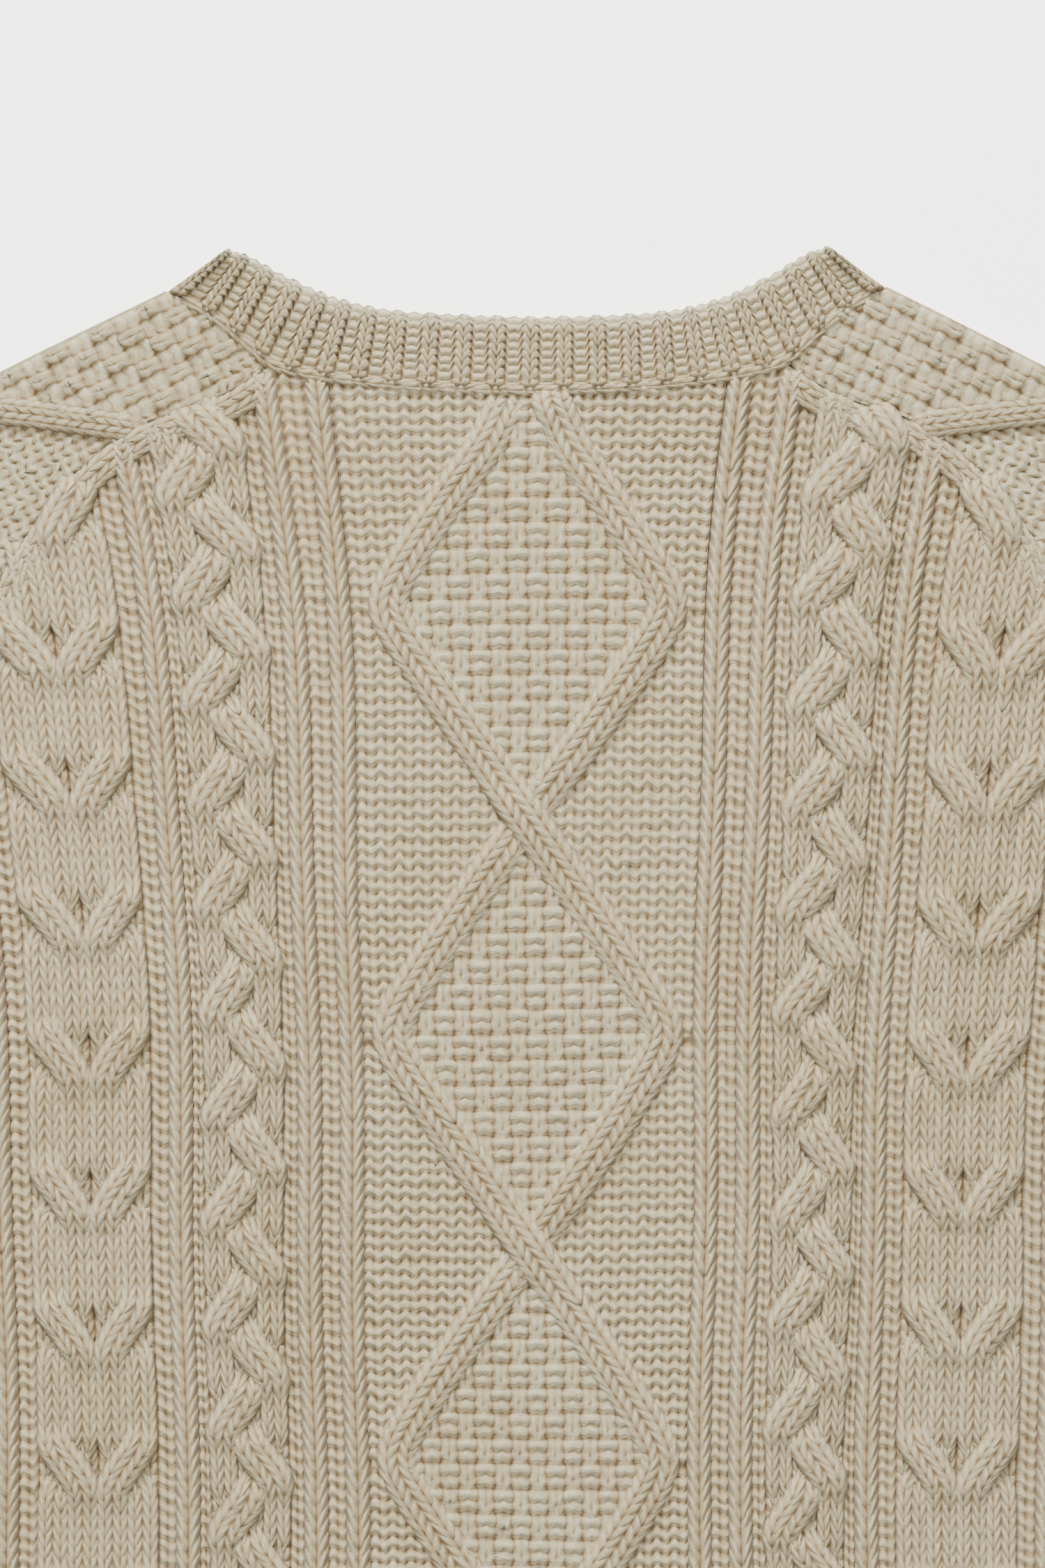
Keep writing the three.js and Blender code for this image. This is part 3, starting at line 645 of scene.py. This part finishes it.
def loosely_plied_wool(name, flat_knit=False):
    """Undyed wool, spun soft and loosely plied: no gloss, a faint halo, uneven plies, and painted
    shade in the hollows between stitches.
    """
    made, tree, shader, place = started(name, {
        "Roughness": 0.93, "Sheen Weight": 0.22, "Sheen Roughness": 0.6, "Specular IOR Level": 0.18})
    painted_shade_share = node(tree, "ShaderNodeAttribute", {"attribute_name": "painted_shade_share"}).outputs["Fac"]
    lot = noise(tree, place, 1000 / LOT_MM, 2.0)
    slub = noise(tree, place, 1000 / SLUB_MM, 3.0)
    fibre = noise(tree, place, 1000 / FIBRE_MM, 2.0)
    yarn = node(tree, "ShaderNodeAttribute", {"attribute_name": "yarn"}).outputs["Vector"]
    upright = node(tree, "ShaderNodeSeparateXYZ", (), (), {"Vector": yarn}).outputs["Z"]
    plies = {}
    for socket, stretch in (("A", (1 / PLY_LENGTH_MM, 1 / PLY_MM, 0)),
                            ("B", (1 / PLY_MM, 1 / PLY_LENGTH_MM, 0))):
        laid = node(tree, "ShaderNodeMapping", (), {"Scale": stretch}, {"Vector": yarn})
        plies[socket] = noise(tree, laid.outputs["Vector"], 1.0, 2.0)
    ply = node(tree, "ShaderNodeMix", (), (), {"Factor": upright, **plies}).outputs["Result"]
    # Painted shade: the colour runs from warm brown where the lattice point lies low to the wool's
    # own colour on the crests.
    colour = ramp(tree, painted_shade_share, [(0.0, HOLLOW_PAINTED_SHADE), (0.40, MIDDLE_PAINTED_SHADE), (0.85, CREST_TONE)])
    # Each tint: how strong it is, what drives it, its colour, and where it begins and ends
    for strength, driver, tint, first, last in ((0.35, lot, "#e9e0cf", 0.35, 0.62),
                                                (0.5, slub, "#dcd2c0", 0.32, 0.55),
                                                (0.5, ply, "#d6cab5", 0.36, 0.56)):
        shade = ramp(tree, driver, [(first, tint), (last, "#ffffff")])
        colour = node(tree, "ShaderNodeMix", {"data_type": "RGBA", "blend_type": "MULTIPLY"},
                      {"Factor": strength}, {6: colour, 7: shade}).outputs[2]
    tree.links.new(colour, shader.inputs["Base Color"])
    bumps = [(0.5, 0.0004, slub), (0.7, 0.0004, ply), (0.55, 0.00018, fibre)]
    if flat_knit:
        rows = node(tree, "ShaderNodeTexWave", {"wave_type": "BANDS", "bands_direction": "Y"},
                    {"Scale": 1000 / ROW / 20 * np.pi / 2, "Distortion": 1.2, "Detail": 1.0,
                     "Detail Scale": 2.0}, {"Vector": place}).outputs["Fac"]
        bumps.append((0.8, 0.001, rows))
    links = {}
    for strength, height, driver in bumps:
        links["Height"] = driver
        links["Normal"] = node(tree, "ShaderNodeBump", (), {"Strength": strength, "Distance": height},
                               links).outputs["Normal"]
    tree.links.new(links["Normal"], shader.inputs["Normal"])
    return made


wool = loosely_plied_wool("loosely_plied_ecru_wool")
resting_wool = loosely_plied_wool("ecru_wool_resting_side", flat_knit=True)
print("materials:", wool.name, resting_wool.name)

# %% [markdown]
# The back is charted like a knitting pattern. From the centre out there is the ground with the
# diamonds, then cords and cables, then plain purl to the side seam. The cords and cables have
# pieces of their own, so the chart has only a smooth bed under them. Inside a diamond the chart
# turns to a basket of tall knit stitches and purl bars.

# %% The ground of the back
CABLES = [(BRAID_AT - BRAID_HALF, BRAID_AT + BRAID_HALF, 6),
          (HORSESHOE_AT - HORSESHOE_HALF, HORSESHOE_AT + HORSESHOE_HALF, 8)]
GUTTERS = [(CORDS[0] + CORD_HALF, CORDS[1] - CORD_HALF), (CORDS[1] + CORD_HALF, CABLES[0][0]),
           (CABLES[0][1], CORDS[2] - CORD_HALF), (CORDS[2] + CORD_HALF, CABLES[1][0]),
           (CABLES[1][1], CORDS[3] - CORD_HALF)]
# The valley and the crest of the ground under the cables, in the gutters and under the cords
CABLE_BED, GUTTER_BED, CORD_BED = (-1.6, 0.8), (-3.2, -0.4), (-2.2, -1.0)


def edges_right():
    """The borders of the chart's columns on the right half, from the centre line outwards."""
    marks = [np.arange(0, 10) * STITCH]
    marks += [np.array([at - CORD_HALF, at + CORD_HALF]) for at in CORDS]
    marks += [np.linspace(first, last, count + 1) for first, last, count in CABLES]
    marks += [np.linspace(CORDS[3] + CORD_HALF, SIDE[0, 0] + 1, 14)[1:]]
    return np.unique(np.round(np.concatenate(marks), 3))


EDGES = edges_right()
PLAIN_FROM = CORDS[3] + CORD_HALF
SPLIT = BRAID_AT


def body_place(at, y):
    """Where a place of the chart lies: spread by the fan, and fitted to the side past the cords."""
    side = np.sign(at)
    at = np.abs(at)
    inner = np.minimum(at, PLAIN_FROM) * fan(y)
    outer = (at - PLAIN_FROM) / (EDGES[-1] - PLAIN_FROM)
    reach = side_at(y) + 0.8 - PLAIN_FROM * fan(y)
    return side * (inner + np.clip(outer, 0, 1.2) * reach)


def diamond_fan(y):
    """The share by which the diamonds spread, which is less than the columns do."""
    return 0.4 + 0.6 * fan(y)


def diamond_half(y):
    """Half width of the diamond on the back, to the middle of its bands."""
    return np.abs(signed_reach(-y)) * diamond_fan(y)


def fill_basket(kind, basket, block, row):
    """Charts basket stitch: two-row blocks of one tall knit stitch or two purl bars in turn."""
    upper = row % 2 == 1
    kind[basket & block] = np.where(upper, TALL_HEAD, TALL_FOOT)[basket & block]
    kind[basket & ~block] = np.where(upper, BAR_HEAD, BAR)[basket & ~block]


def pulled(x, y):
    """How far stitches sink: along the middle of each horseshoe, and beside each diamond's turn."""
    sunk = 1.9 * np.exp(-((np.abs(x) / fan(y) - HORSESHOE_AT) / 1.5) ** 2)
    turn_y = (np.round(-y / DIAMOND_PITCH - 0.5) + 0.5) * -DIAMOND_PITCH
    turn_x = DIAMOND_REACH * diamond_fan(turn_y) + BAND_WIDTH / 2 + 1.8
    return sunk + 2.2 * np.exp(-((np.abs(x) - turn_x) / 2.0) ** 2 - ((y - turn_y + 3) / 1.8) ** 2)


def body_chart(borders, rows):
    """Kinds, lows and highs of the stitches between the borders, from the rib up."""
    middle = (borders[:-1] + borders[1:]) / 2
    out = np.abs(middle)
    y = RIB_TOP_Y + (np.arange(rows) + 0.5) * ROW
    kind = np.full((rows, len(middle)), PURL)
    row, column = np.indices(kind.shape)
    x = middle[None, :] * fan(y)[:, None]
    basket = np.abs(x) < diamond_half(y)[:, None] - 1.5
    block = (np.round(middle / STITCH - 0.5).astype(int)[None, :] + row // 2) % 2 == 0
    fill_basket(kind, basket, block, row)
    low, high = np.full(kind.shape, -2.7), np.full(kind.shape, 0.1)
    low[basket], high[basket] = -1.5, 0.9
    beds = [(first, last, CABLE_BED) for first, last, _ in CABLES]
    beds += [(first, last, GUTTER_BED) for first, last in GUTTERS]
    beds += [(at - 1, at + 1, CORD_BED) for at in CORDS]
    for first, last, (valley, crest) in beds:
        bed = (out > first) & (out < last)
        low[:, bed], high[:, bed] = valley, crest
    for first, last, _ in CABLES:
        kind[:, (out > first) & (out < last)] = KNIT
    return kind, low, high


def body_cloth(borders, seed):
    """The wall of the back between two borders of the chart, from the rib to the neck."""
    rows = int(np.ceil((14 - RIB_TOP_Y) / ROW))
    u, v, h, marks = lattice(*body_chart(borders, rows), seed)
    y = RIB_TOP_Y + v * ROW
    x = body_place(np.interp(u, np.arange(len(borders)), borders), y)
    from_side = side_at(y) - np.abs(x)
    drop = 3.0 * np.clip(1 - from_side / 5, 0, 1) ** 2 * (y < SIDE[0, 1])
    sunk = pulled(x, y)
    z = np.maximum(HIGH_TOP + h + settle(x, y) - drop - sunk, HIGH_BOTTOM + 0.1)
    # Painted shade: where stitches sink, their share is lowered, so they are drawn darker.
    marks[..., 0] *= 1 - 0.75 * np.clip(sunk / 1.9, 0, 1)
    return wall(x, y, z, marks, [BACK_LOOP], [], HIGH_BOTTOM)


symmetric = np.concatenate([-EDGES[::-1], EDGES[1:]])
centre_borders = symmetric[np.abs(symmetric) <= SPLIT + 0.01]
right_borders = EDGES[EDGES >= SPLIT - 0.01]
grounds = [body_cloth(centre_borders, 11), body_cloth(right_borders, 12),
           body_cloth(-right_borders[::-1], 13)]
back_centre = piece("back_centre_ground", grounds[:1], wool)
back_right = piece("back_right_ground", grounds[1:2], wool)
back_left = piece("back_left_ground", grounds[2:], wool)

# %% [markdown]
# The cords are single knit columns that stand between purl gutters. The plait has three strands
# of two columns: one crosses over from the left edge to the middle, and half a repeat later
# another crosses over from the right edge. In the horseshoe the two middle strands cross outwards
# over their neighbours at the same row. Both plaits of the back run the same way.

# %% Cords and cables of the back
BODY_Y = np.arange(RIB_TOP_Y - 3, 16, 1.0)
LEVEL = (1.0, 0.0)
PLAIT_MOVES = [(0.0, -1, 0, 1), (0.5, 0, 1, -1), (1.5, 1, 0, 1), (2.0, 0, -1, -1)]
PLAIT_CROSSING_Y = -62.8
SHOE_MOVES = [(0.0, 0.5, 1.5, 1), (1.0, 1.5, 0.5, -1)]
SHOE_CROSSING_Y = -86.0
CABLE_RISE, CROSSING_RISE = 0.7, 2.4


def column_strand(at, lane, lift, width, seed, crown, soft, **shape):
    """A strand that runs up the back at a place of the chart, set off sideways by its lane."""
    y = BODY_Y
    path = np.column_stack([(at + lane) * fan(y), y])
    run = runs_inside(path, [widened(BACK_LOOP, 1.0)])
    wide, rise, bulge, closed = (
        np.broadcast_to(q, y.shape)[run] for q in (width * fan(y), lift, crown, soft))
    return strand(path[run], lift=rise, width=wide, seed=seed, crown=bulge, rows_along=LEVEL,
                  soft=closed, **shape)


def cords():
    """The k1 cords of both sides."""
    return [column_strand(side * at, 0, 0.0, 2 * CORD_HALF / fan(BODY_Y), 20 + k, 0.9, -0.15,
                          columns=1, across=8, leg=2.6, slant=1.3, pitch=4.8)
            for k, (side, at) in enumerate((s, a) for s in (-1, 1) for a in CORDS)]


def cable_strand(middle, lane, lift, lane_width, swell, seed):
    """Two knit columns that swell and round where they cross in front."""
    front, behind = np.maximum(lift, 0), np.maximum(-lift, 0)
    rise = CABLE_RISE + CROSSING_RISE * front - CROSSING_RISE * behind
    width = lane_width * (1.05 + swell * front - 0.12 * behind)
    return column_strand(middle, lane * lane_width, rise, width, seed, 0.45 + 1.9 * front,
                         0.15 + 0.75 * front, columns=2, leg=1.9, slant=1.15)


def plaits():
    """Three strands for each plait, a whole repeat apart."""
    made = []
    for side in (-1, 1):
        for k in range(3):
            phase = (BODY_Y - PLAIT_CROSSING_Y) / BRAID_PITCH + k
            lane, lift = lane_path(phase, PLAIT_MOVES, -1, 3, 0.50)
            made.append(cable_strand(side * BRAID_AT, lane, lift, 2 * BRAID_HALF / 3, 0.42,
                                     40 + 3 * side + k))
    return made


def horseshoes():
    """Two strands on each side of the middle of each horseshoe, a whole repeat apart."""
    made = []
    for side in (-1, 1):
        for hand in (-1, 1):
            for k in range(2):
                phase = (BODY_Y - SHOE_CROSSING_Y) / HORSESHOE_PITCH + k
                lane, lift = lane_path(phase, SHOE_MOVES, 0.5, 2, 0.40)
                drawn_in = 0.16 * np.cos(np.pi * phase) ** 8 * np.clip(lane - 0.5, 0, 1)
                made.append(cable_strand(side * HORSESHOE_AT, hand * (lane - drawn_in), lift,
                                         2 * HORSESHOE_HALF / 4, 0.16, 60 + 4 * side + 2 * hand + k))
    return made


def diamonds():
    """Two bands of two columns that cross on the centre line, over and under in turn."""
    made = []
    y = np.arange(RIB_TOP_Y - 3, 0.5, 1.0)
    for hand in (-1, 1):
        apart = 6.5 * ease((y + 28) / 20)
        x = hand * np.where(apart > 0, np.hypot(signed_reach(-y), apart), signed_reach(-y))
        x = x * diamond_fan(y)
        crossing = np.round(-y / DIAMOND_PITCH)
        over = np.where(crossing % 2 == 1, -hand, hand)
        lift = 1.2 + 1.5 * over * hump((-y / DIAMOND_PITCH - crossing) * DIAMOND_PITCH / 17)
        path = np.column_stack([x, y])
        made.append(strand(path, 2, BAND_WIDTH, lift, 80 + hand, rows_along=LEVEL, leg=2.1,
                           crown=2.3, slant=1.0, soft=0.35))
    return made


back_cords = piece("back_cords", cords(), wool)
back_plaits = piece("back_plait_cables", plaits(), wool)
back_horseshoes = piece("back_horseshoe_cables", horseshoes(), wool)
back_diamonds = piece("back_diamond_cable", diamonds(), wool)

# %% [markdown]
# The ribs of the hem, cuffs and neckband are one knit and one purl column in turn. The neckband's
# columns fan out round the neck, so its lattice is stretched between the seam and the free edge,
# and the knit columns stand a little past the purl ones at the cast-off.

# %% Ribs
def rib_chart(rows, count):
    """Kinds, lows and highs of one by one rib that starts and ends with a knit column."""
    column = np.arange(2 * count + 1)
    kind = np.broadcast_to(np.where(column % 2 == 0, KNIT, BAR_HEAD), (rows, 2 * count + 1))
    low = np.where(kind == KNIT, -0.6, -2.8)
    high = np.where(kind == KNIT, 2.7, -0.8)
    return kind, low, high


def rib_place(u, count):
    """The place from 0 to 1 of a column of the rib: knit columns are narrower than purl ones."""
    widths = np.where(np.arange(2 * count + 1) % 2 == 0, 1.04, 0.96)
    borders = np.concatenate([[0], np.cumsum(widths)]) / widths.sum()
    return np.interp(u, np.arange(2 * count + 2), borders)


def hem_rib():
    """The rib of the back's hem, drawn in a little from the ground above it."""
    rows, count = 15, 2 * 20
    u, v, h, marks = lattice(*rib_chart(rows, count), seed=101)
    y = HEM_Y + v * (RIB_TOP_Y - HEM_Y + 1.0) / rows
    x = (2 * rib_place(u, count) - 1) * (side_at(y) + 0.6)
    end = np.clip(1 - (y - HEM_Y) / 3, 0, 1) ** 2
    side = np.clip(1 - (side_at(y) - np.abs(x)) / 5, 0, 1) ** 2
    z = HIGH_TOP + h + settle(x, y) - 1.6 * end - 2.6 * side
    return wall(x, y, z, marks, [widened(HEM_LOOP, 1.2)], [], HIGH_BOTTOM)


def band_edges(rows):
    """Seam edge and free edge of the neckband at even steps from fold to fold."""
    half = smooth_line(rows, 2.0)
    left = half[::-1][:-1] * (-1, 1, -1, 1)
    return np.vstack([left, half])


def band_loop(line):
    """The outline of the neckband from its two edges, with some room outside it."""
    return widened(np.vstack([line[:, :2], line[::-1, 2:]]), 2.5)


def neck_rib():
    """The upper layer of the neckband, its columns square to the seam."""
    line = band_edges(BAND_BACK)
    along = distances(line[:, :2])
    rows, count = 9, int(round(along[-1] / RIB_PITCH))
    kind, low, high = rib_chart(rows, count)
    u, v, h, marks = lattice(kind, low, high, seed=103, slant=1.8)
    s = rib_place(u, count) * along[-1]
    sx, sy, ex, ey = (np.interp(s, along, line[:, k]) for k in range(4))
    knit_column = np.cos(np.pi * (u - 0.5)) ** 2
    t = v / rows * (1 + 0.035 * knit_column * np.clip(v / rows * 2 - 1, 0, 1))
    x, y = sx + (ex - sx) * t, sy + (ey - sy) * t
    from_fold = np.minimum(s, along[-1] - s)
    fold = 3.0 * (1 - np.sqrt(1 - np.clip(1 - from_fold / 4.5, 0, 1) ** 2))
    top = 2.4 * np.clip((t - 0.86) / 0.17, 0, 1) ** 2
    seam = 2.0 * np.clip(1 - t / 0.07, 0, 1)
    # Painted shade along the seam, where the band meets the back; towards the free edge the painted
    # shade is lifted.
    marks[..., 0] = np.maximum(marks[..., 0] * np.clip(t / 0.10 - 0.1, 0, 1),
                               np.clip((t - 0.82) / 0.12, 0, 0.9))
    z = HIGH_TOP + h + settle(x, y) - fold - top - seam
    return wall(x, y, z, marks, [band_loop(line)], [], HIGH_BOTTOM, snap=0.0)


def under_band():
    """The lower layer of the neckband: a plain wall round the front of the neck."""
    line = band_edges(BAND_FRONT)
    t = np.linspace(0, 1, 7)[:, None]
    x, y = (line[None, :, k] * (1 - t) + line[None, :, k + 2] * t for k in (0, 1))
    flat = np.full(x.shape, LOW_TOP)
    return wall(x, y, flat, marked(1.0, x, y, 1.0), [band_loop(line)], [], 0.0, snap=0.0, tuck=0.9)


hem = piece("back_hem_rib", [hem_rib()], wool)
neckband = piece("ribbed_neckband", [neck_rib(), under_band()], wool)

# %% [markdown]
# A sleeve is one tube laid flat. Its upper layer carries half a diamond along the fold, filled
# with basket stitch that runs up the saddle to the neck, and plain purl below. Its rows stand
# square to the sleeve. The lower layer rests on the surface and is plain.

# %% Sleeves
def sleeve_fold():
    """Points of the folded edge with the turn there: (s, x, y, turn), walked in small steps."""
    s = np.arange(-44.0, SLEEVE_LENGTH + 6, 1.0)
    turn = np.radians(np.interp(s, SLEEVE_TURN[:, 0], SLEEVE_TURN[:, 1]))
    x, y = np.cumsum(np.cos(turn)), -np.cumsum(np.sin(turn))
    start = np.searchsorted(s, 0)
    return np.column_stack([s, x - x[start] + SLEEVE_START[0], y - y[start] + SLEEVE_START[1], turn])


FOLD = sleeve_fold()


def on_sleeve(s, w, side):
    """The place s along the fold and w in from it, on the right or the left sleeve."""
    x, y, turn = (np.interp(s, FOLD[:, 0], FOLD[:, k]) for k in (1, 2, 3))
    return side * (x - w * np.sin(turn)), y - w * np.cos(turn)


def sleeve_width(s):
    return np.interp(s, SLEEVE_WIDTH[:, 0], SLEEVE_WIDTH[:, 1])


def sleeve_loop(side, first, last):
    """The outline of a stretch of the sleeve, as a closed loop."""
    s = np.arange(first, last + 0.5, 4.0)
    s[-1] = last
    upper = np.column_stack(on_sleeve(s, 0 * s, side))
    lower = np.column_stack(on_sleeve(s, sleeve_width(s), side))
    return np.vstack([upper, lower[::-1]])


def neck_loop(band, side):
    """What the neckband takes out of the sleeve: all above its seam."""
    seam = smooth_line(band[:, :2], 3)
    high = [(120.8, 90), (0, 90)]
    return np.vstack([seam, high]) * (side, 1)


def sleeve_reach(s):
    """Distance of the sleeve's cable from the fold."""
    reach = np.abs(signed_reach(s - SLEEVE_CROSSING))
    return np.sqrt(reach**2 + 5.4**2)


def sleeve_upper(side):
    """The relief of the sleeve's upper layer, from the cuff to the saddle."""
    rows = int(np.ceil((CUFF_FROM + 40) / ROW))
    columns = 35
    kind = np.full((rows, columns), PURL)
    row, column = np.indices(kind.shape)
    s_mid, w_mid = CUFF_FROM - (row + 0.5) * ROW, (column + 0.5) * (STITCH - 0.4)
    basket = w_mid < sleeve_reach(s_mid) - 3
    block = (column + row // 2) % 2 == 0
    fill_basket(kind, basket, block, row)
    low, high = np.full(kind.shape, -2.4), np.full(kind.shape, -0.1)
    low[basket], high[basket] = -2.0, -0.9
    high[basket & block] = 1.3
    below = (w_mid > sleeve_reach(s_mid) + 3) & (w_mid < sleeve_reach(s_mid) + 3 + STITCH)
    low[below], high[below] = -2.9, -0.8
    u, v, h, marks = lattice(kind, low, high, 120 + side, uneven=2.0)
    s, w = CUFF_FROM - v * ROW, u * (STITCH - 0.4)
    x, y = on_sleeve(s, w, side)
    z = HIGH_TOP + h + settle(x, y) - edge_drop(s, w)
    keep = [sleeve_loop(side, -40, CUFF_FROM)]
    drop = [widened(BACK_LOOP, 0.3), neck_loop(BAND_BACK, side)]
    return wall(x, y, z, marks, keep, drop, HIGH_BOTTOM)


def edge_drop(s, w):
    """A quarter round at the fold and at the underarm seam."""
    near = np.clip(1 - np.minimum(w, sleeve_width(s) - w) / 5.0, 0, 1)
    return 3.0 * (1 - np.sqrt(1 - np.minimum(near, 0.995) ** 2))


def sleeve_lower(side):
    """The plain lower layer of the sleeve, flat on the surface."""
    s, w = np.meshgrid(np.arange(-40, SLEEVE_LENGTH + 1, 5.0), np.linspace(0, 1, 33), indexing="ij")
    w = w * sleeve_width(s)
    x, y = on_sleeve(s, w, side)
    drop = [widened(FRONT_LOOP, 0.3), neck_loop(BAND_FRONT, side)]
    keep = [sleeve_loop(side, -40, SLEEVE_LENGTH)]
    return wall(x, y, np.full(x.shape, LOW_TOP), marked(1.0, x, y, 1.0), keep, drop, 0.0,
                snap=4.0, tuck=1.0)


def cuff_rib(side):
    """The ribbed cuff's upper layer, its columns along the sleeve."""
    rows, count = 15, 7
    u, v, h, marks = lattice(*rib_chart(rows, count), seed=130 + side)
    s = SLEEVE_LENGTH - v * (SLEEVE_LENGTH - CUFF_FROM + 1) / rows
    w = rib_place(u, count) * sleeve_width(s)
    x, y = on_sleeve(s, w, side)
    end = 1.6 * np.clip(1 - (SLEEVE_LENGTH - s) / 3, 0, 1) ** 2
    z = HIGH_TOP + h + settle(x, y) - edge_drop(s, w) - end
    keep = [sleeve_loop(side, CUFF_FROM - 4, SLEEVE_LENGTH + 2)]
    return wall(x, y, z, marks, keep, [], HIGH_BOTTOM, snap=0.0)


def sleeve_rope(side):
    """The cable that runs down the sleeve from the neck, one edge of its diamonds."""
    s = np.arange(CUFF_FROM + 1, -40, -1.0)
    path = np.column_stack(on_sleeve(s, sleeve_reach(s), side))
    turn = np.interp(s, FOLD[:, 0], FOLD[:, 3])
    rows_along = np.column_stack([np.sin(turn), side * np.cos(turn)])
    drop = [widened(BACK_LOOP, -1.5), neck_loop(BAND_BACK, side)]
    run = runs_inside(path, [sleeve_loop(side, -40, CUFF_FROM + 4)], drop)
    path = path[run]
    return strand(path, 2, 9.2, 0.9, 140 + side,
                  rows_along=rows_along[run], leg=1.5, crown=1.6)


for side, word in ((1, "right"), (-1, "left")):
    layers = [sleeve_upper(side), sleeve_lower(side)]
    tube = piece(f"{word}_sleeve_tube", layers, wool)
    cuff = piece(f"{word}_cuff_rib", [cuff_rib(side)], wool)
    rope = piece(f"{word}_sleeve_cable", [sleeve_rope(side)], wool)

# %% [markdown]
# Seams on hand knitting show. Where the neckband is picked up there is a chain of stitches, and
# the knitter's decreases make a raised edge of slanted stitches along the back's shoulder.

# %% Seams
def seam_chain():
    """One column of small knit stitches along the neckband's seam."""
    line = band_edges(BAND_BACK)[:, :2]
    line = line[np.abs(line[:, 0]) < 118]
    return strand(line, 1, 3.8, -0.8, 150, leg=1.8, crown=1.0,
                  pitch=5.8)


def shoulder_edge(side):
    """Two columns of large stitches just inside the back's armhole seam."""
    line = smooth_line(ARMHOLE[:-1], 3)
    line = widened(np.vstack([line, [(0, -238)], [(0, 10)]]), -4.4)[:len(line)]
    line = line[::-1] * (side, 1)
    line = line[2:-1]
    return strand(line, 2, 9.4, 0.4, 160 + side, leg=1.8, crown=1.5,
                  pitch=5.4)


seams = piece("shoulder_and_neck_seams", [seam_chain(), shoulder_edge(1), shoulder_edge(-1)], wool)

# %% [markdown]
# The front lies under the back and touches the surface, so only its flat underside and its border
# can be seen. It is a plain wall on the same outline, and its stitches are left to the material.

# %% The front
def front_wall():
    """A plain wall inside the front's outline, its foot drawn in."""
    x, y = np.meshgrid(np.arange(-270, 271, 6.0), np.arange(HEM_Y - 6, 20, 6.0))
    flat = np.full(x.shape, LOW_TOP)
    return wall(x, y, flat, marked(1.0, x, y, 1.0), [FRONT_LOOP], [], 0.0, snap=5.5, tuck=1.0)


front = piece("front_panel_cloth", [front_wall()], resting_wool)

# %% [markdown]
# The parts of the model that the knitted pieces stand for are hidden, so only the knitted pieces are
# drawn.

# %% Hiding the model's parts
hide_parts("back_panel")
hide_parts("front_panel")
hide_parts("neckband")
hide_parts("sleeve_right")
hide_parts("sleeve_left")

# %% [markdown]
# The sweater lies on a plain pale floor under a broad soft light, with a little more from above
# and to the left, as in the photograph. The camera looks straight down through a long lens, so
# that nothing leans, and sees the neck, shoulders and upper back.

# %% Floor, light and camera
def floor_material():
    """Frosted acrylic over a light table: matt, almost white, with a weak light of its own."""
    made, tree, shader, place = started("frosted_acrylic_light_table", {
        "Roughness": 0.95, "Specular IOR Level": 0.1, "Emission Color": tone("#f4f4f1"),
        "Emission Strength": 2.5})
    grain = noise(tree, place, 3.0, 2.0)
    shade = ramp(tree, grain, [(0.0, "#f1f1ef"), (1.0, "#f3f3f1")])
    tree.links.new(shade, shader.inputs["Base Color"])
    return made


floor_mesh = bpy.data.meshes.new("floor")
FLOOR_HALF = 4.0
corners = [(FLOOR_HALF * x, FLOOR_HALF * y, 0) for x, y in ((-1, -1), (1, -1), (1, 1), (-1, 1))]
floor_mesh.from_pydata(corners, [], [(0, 1, 2, 3)])
floor_mesh.materials.append(floor_material())
floor = added("floor", floor_mesh)


def area_light(name, place, aim, size, power):
    """A square soft light at a place, turned towards a point."""
    data = bpy.data.lights.new(name, "AREA")
    data.size, data.energy = size, power
    made = added(name, data)
    made.location = place
    direction = Vector(aim) - Vector(place)
    made.rotation_euler = direction.to_track_quat("-Z", "Y").to_euler()
    return made


area_light("sky_panel", (0.0, 0.6, 2.6), (0, 0.1, 0), 2.6, 52)
area_light("window", (-0.4, 2.6, 1.6), (0, 0.1, 0), 1.3, 172)
world = bpy.context.scene.world or bpy.data.worlds.new("studio")
bpy.context.scene.world = world
world.use_nodes = True
world.node_tree.nodes["Background"].inputs["Color"].default_value = (1, 1, 1, 1)
world.node_tree.nodes["Background"].inputs["Strength"].default_value = 0.42

PHOTO_WIDTH, PHOTO_HEIGHT = 1500, 2250
PX_PER_MM = 4.3
NECK_SEAM_PX = (758, 562)
LENS, SENSOR = 100.0, 36.0
view_height = PHOTO_HEIGHT / PX_PER_MM * MM
distance = view_height / 2 / (SENSOR / 2 / LENS)
camera_data = bpy.data.cameras.new("camera")
camera_data.lens, camera_data.sensor_width = LENS, SENSOR
camera = added("camera", camera_data)
camera.location = ((PHOTO_WIDTH / 2 - NECK_SEAM_PX[0]) / PX_PER_MM * MM,
                   (NECK_Y - (PHOTO_HEIGHT / 2 - NECK_SEAM_PX[1]) / PX_PER_MM) * MM,
                   distance + HIGH_TOP * MM)
bpy.context.scene.camera = camera
print("camera height:", round(camera.location.z, 3), "m")
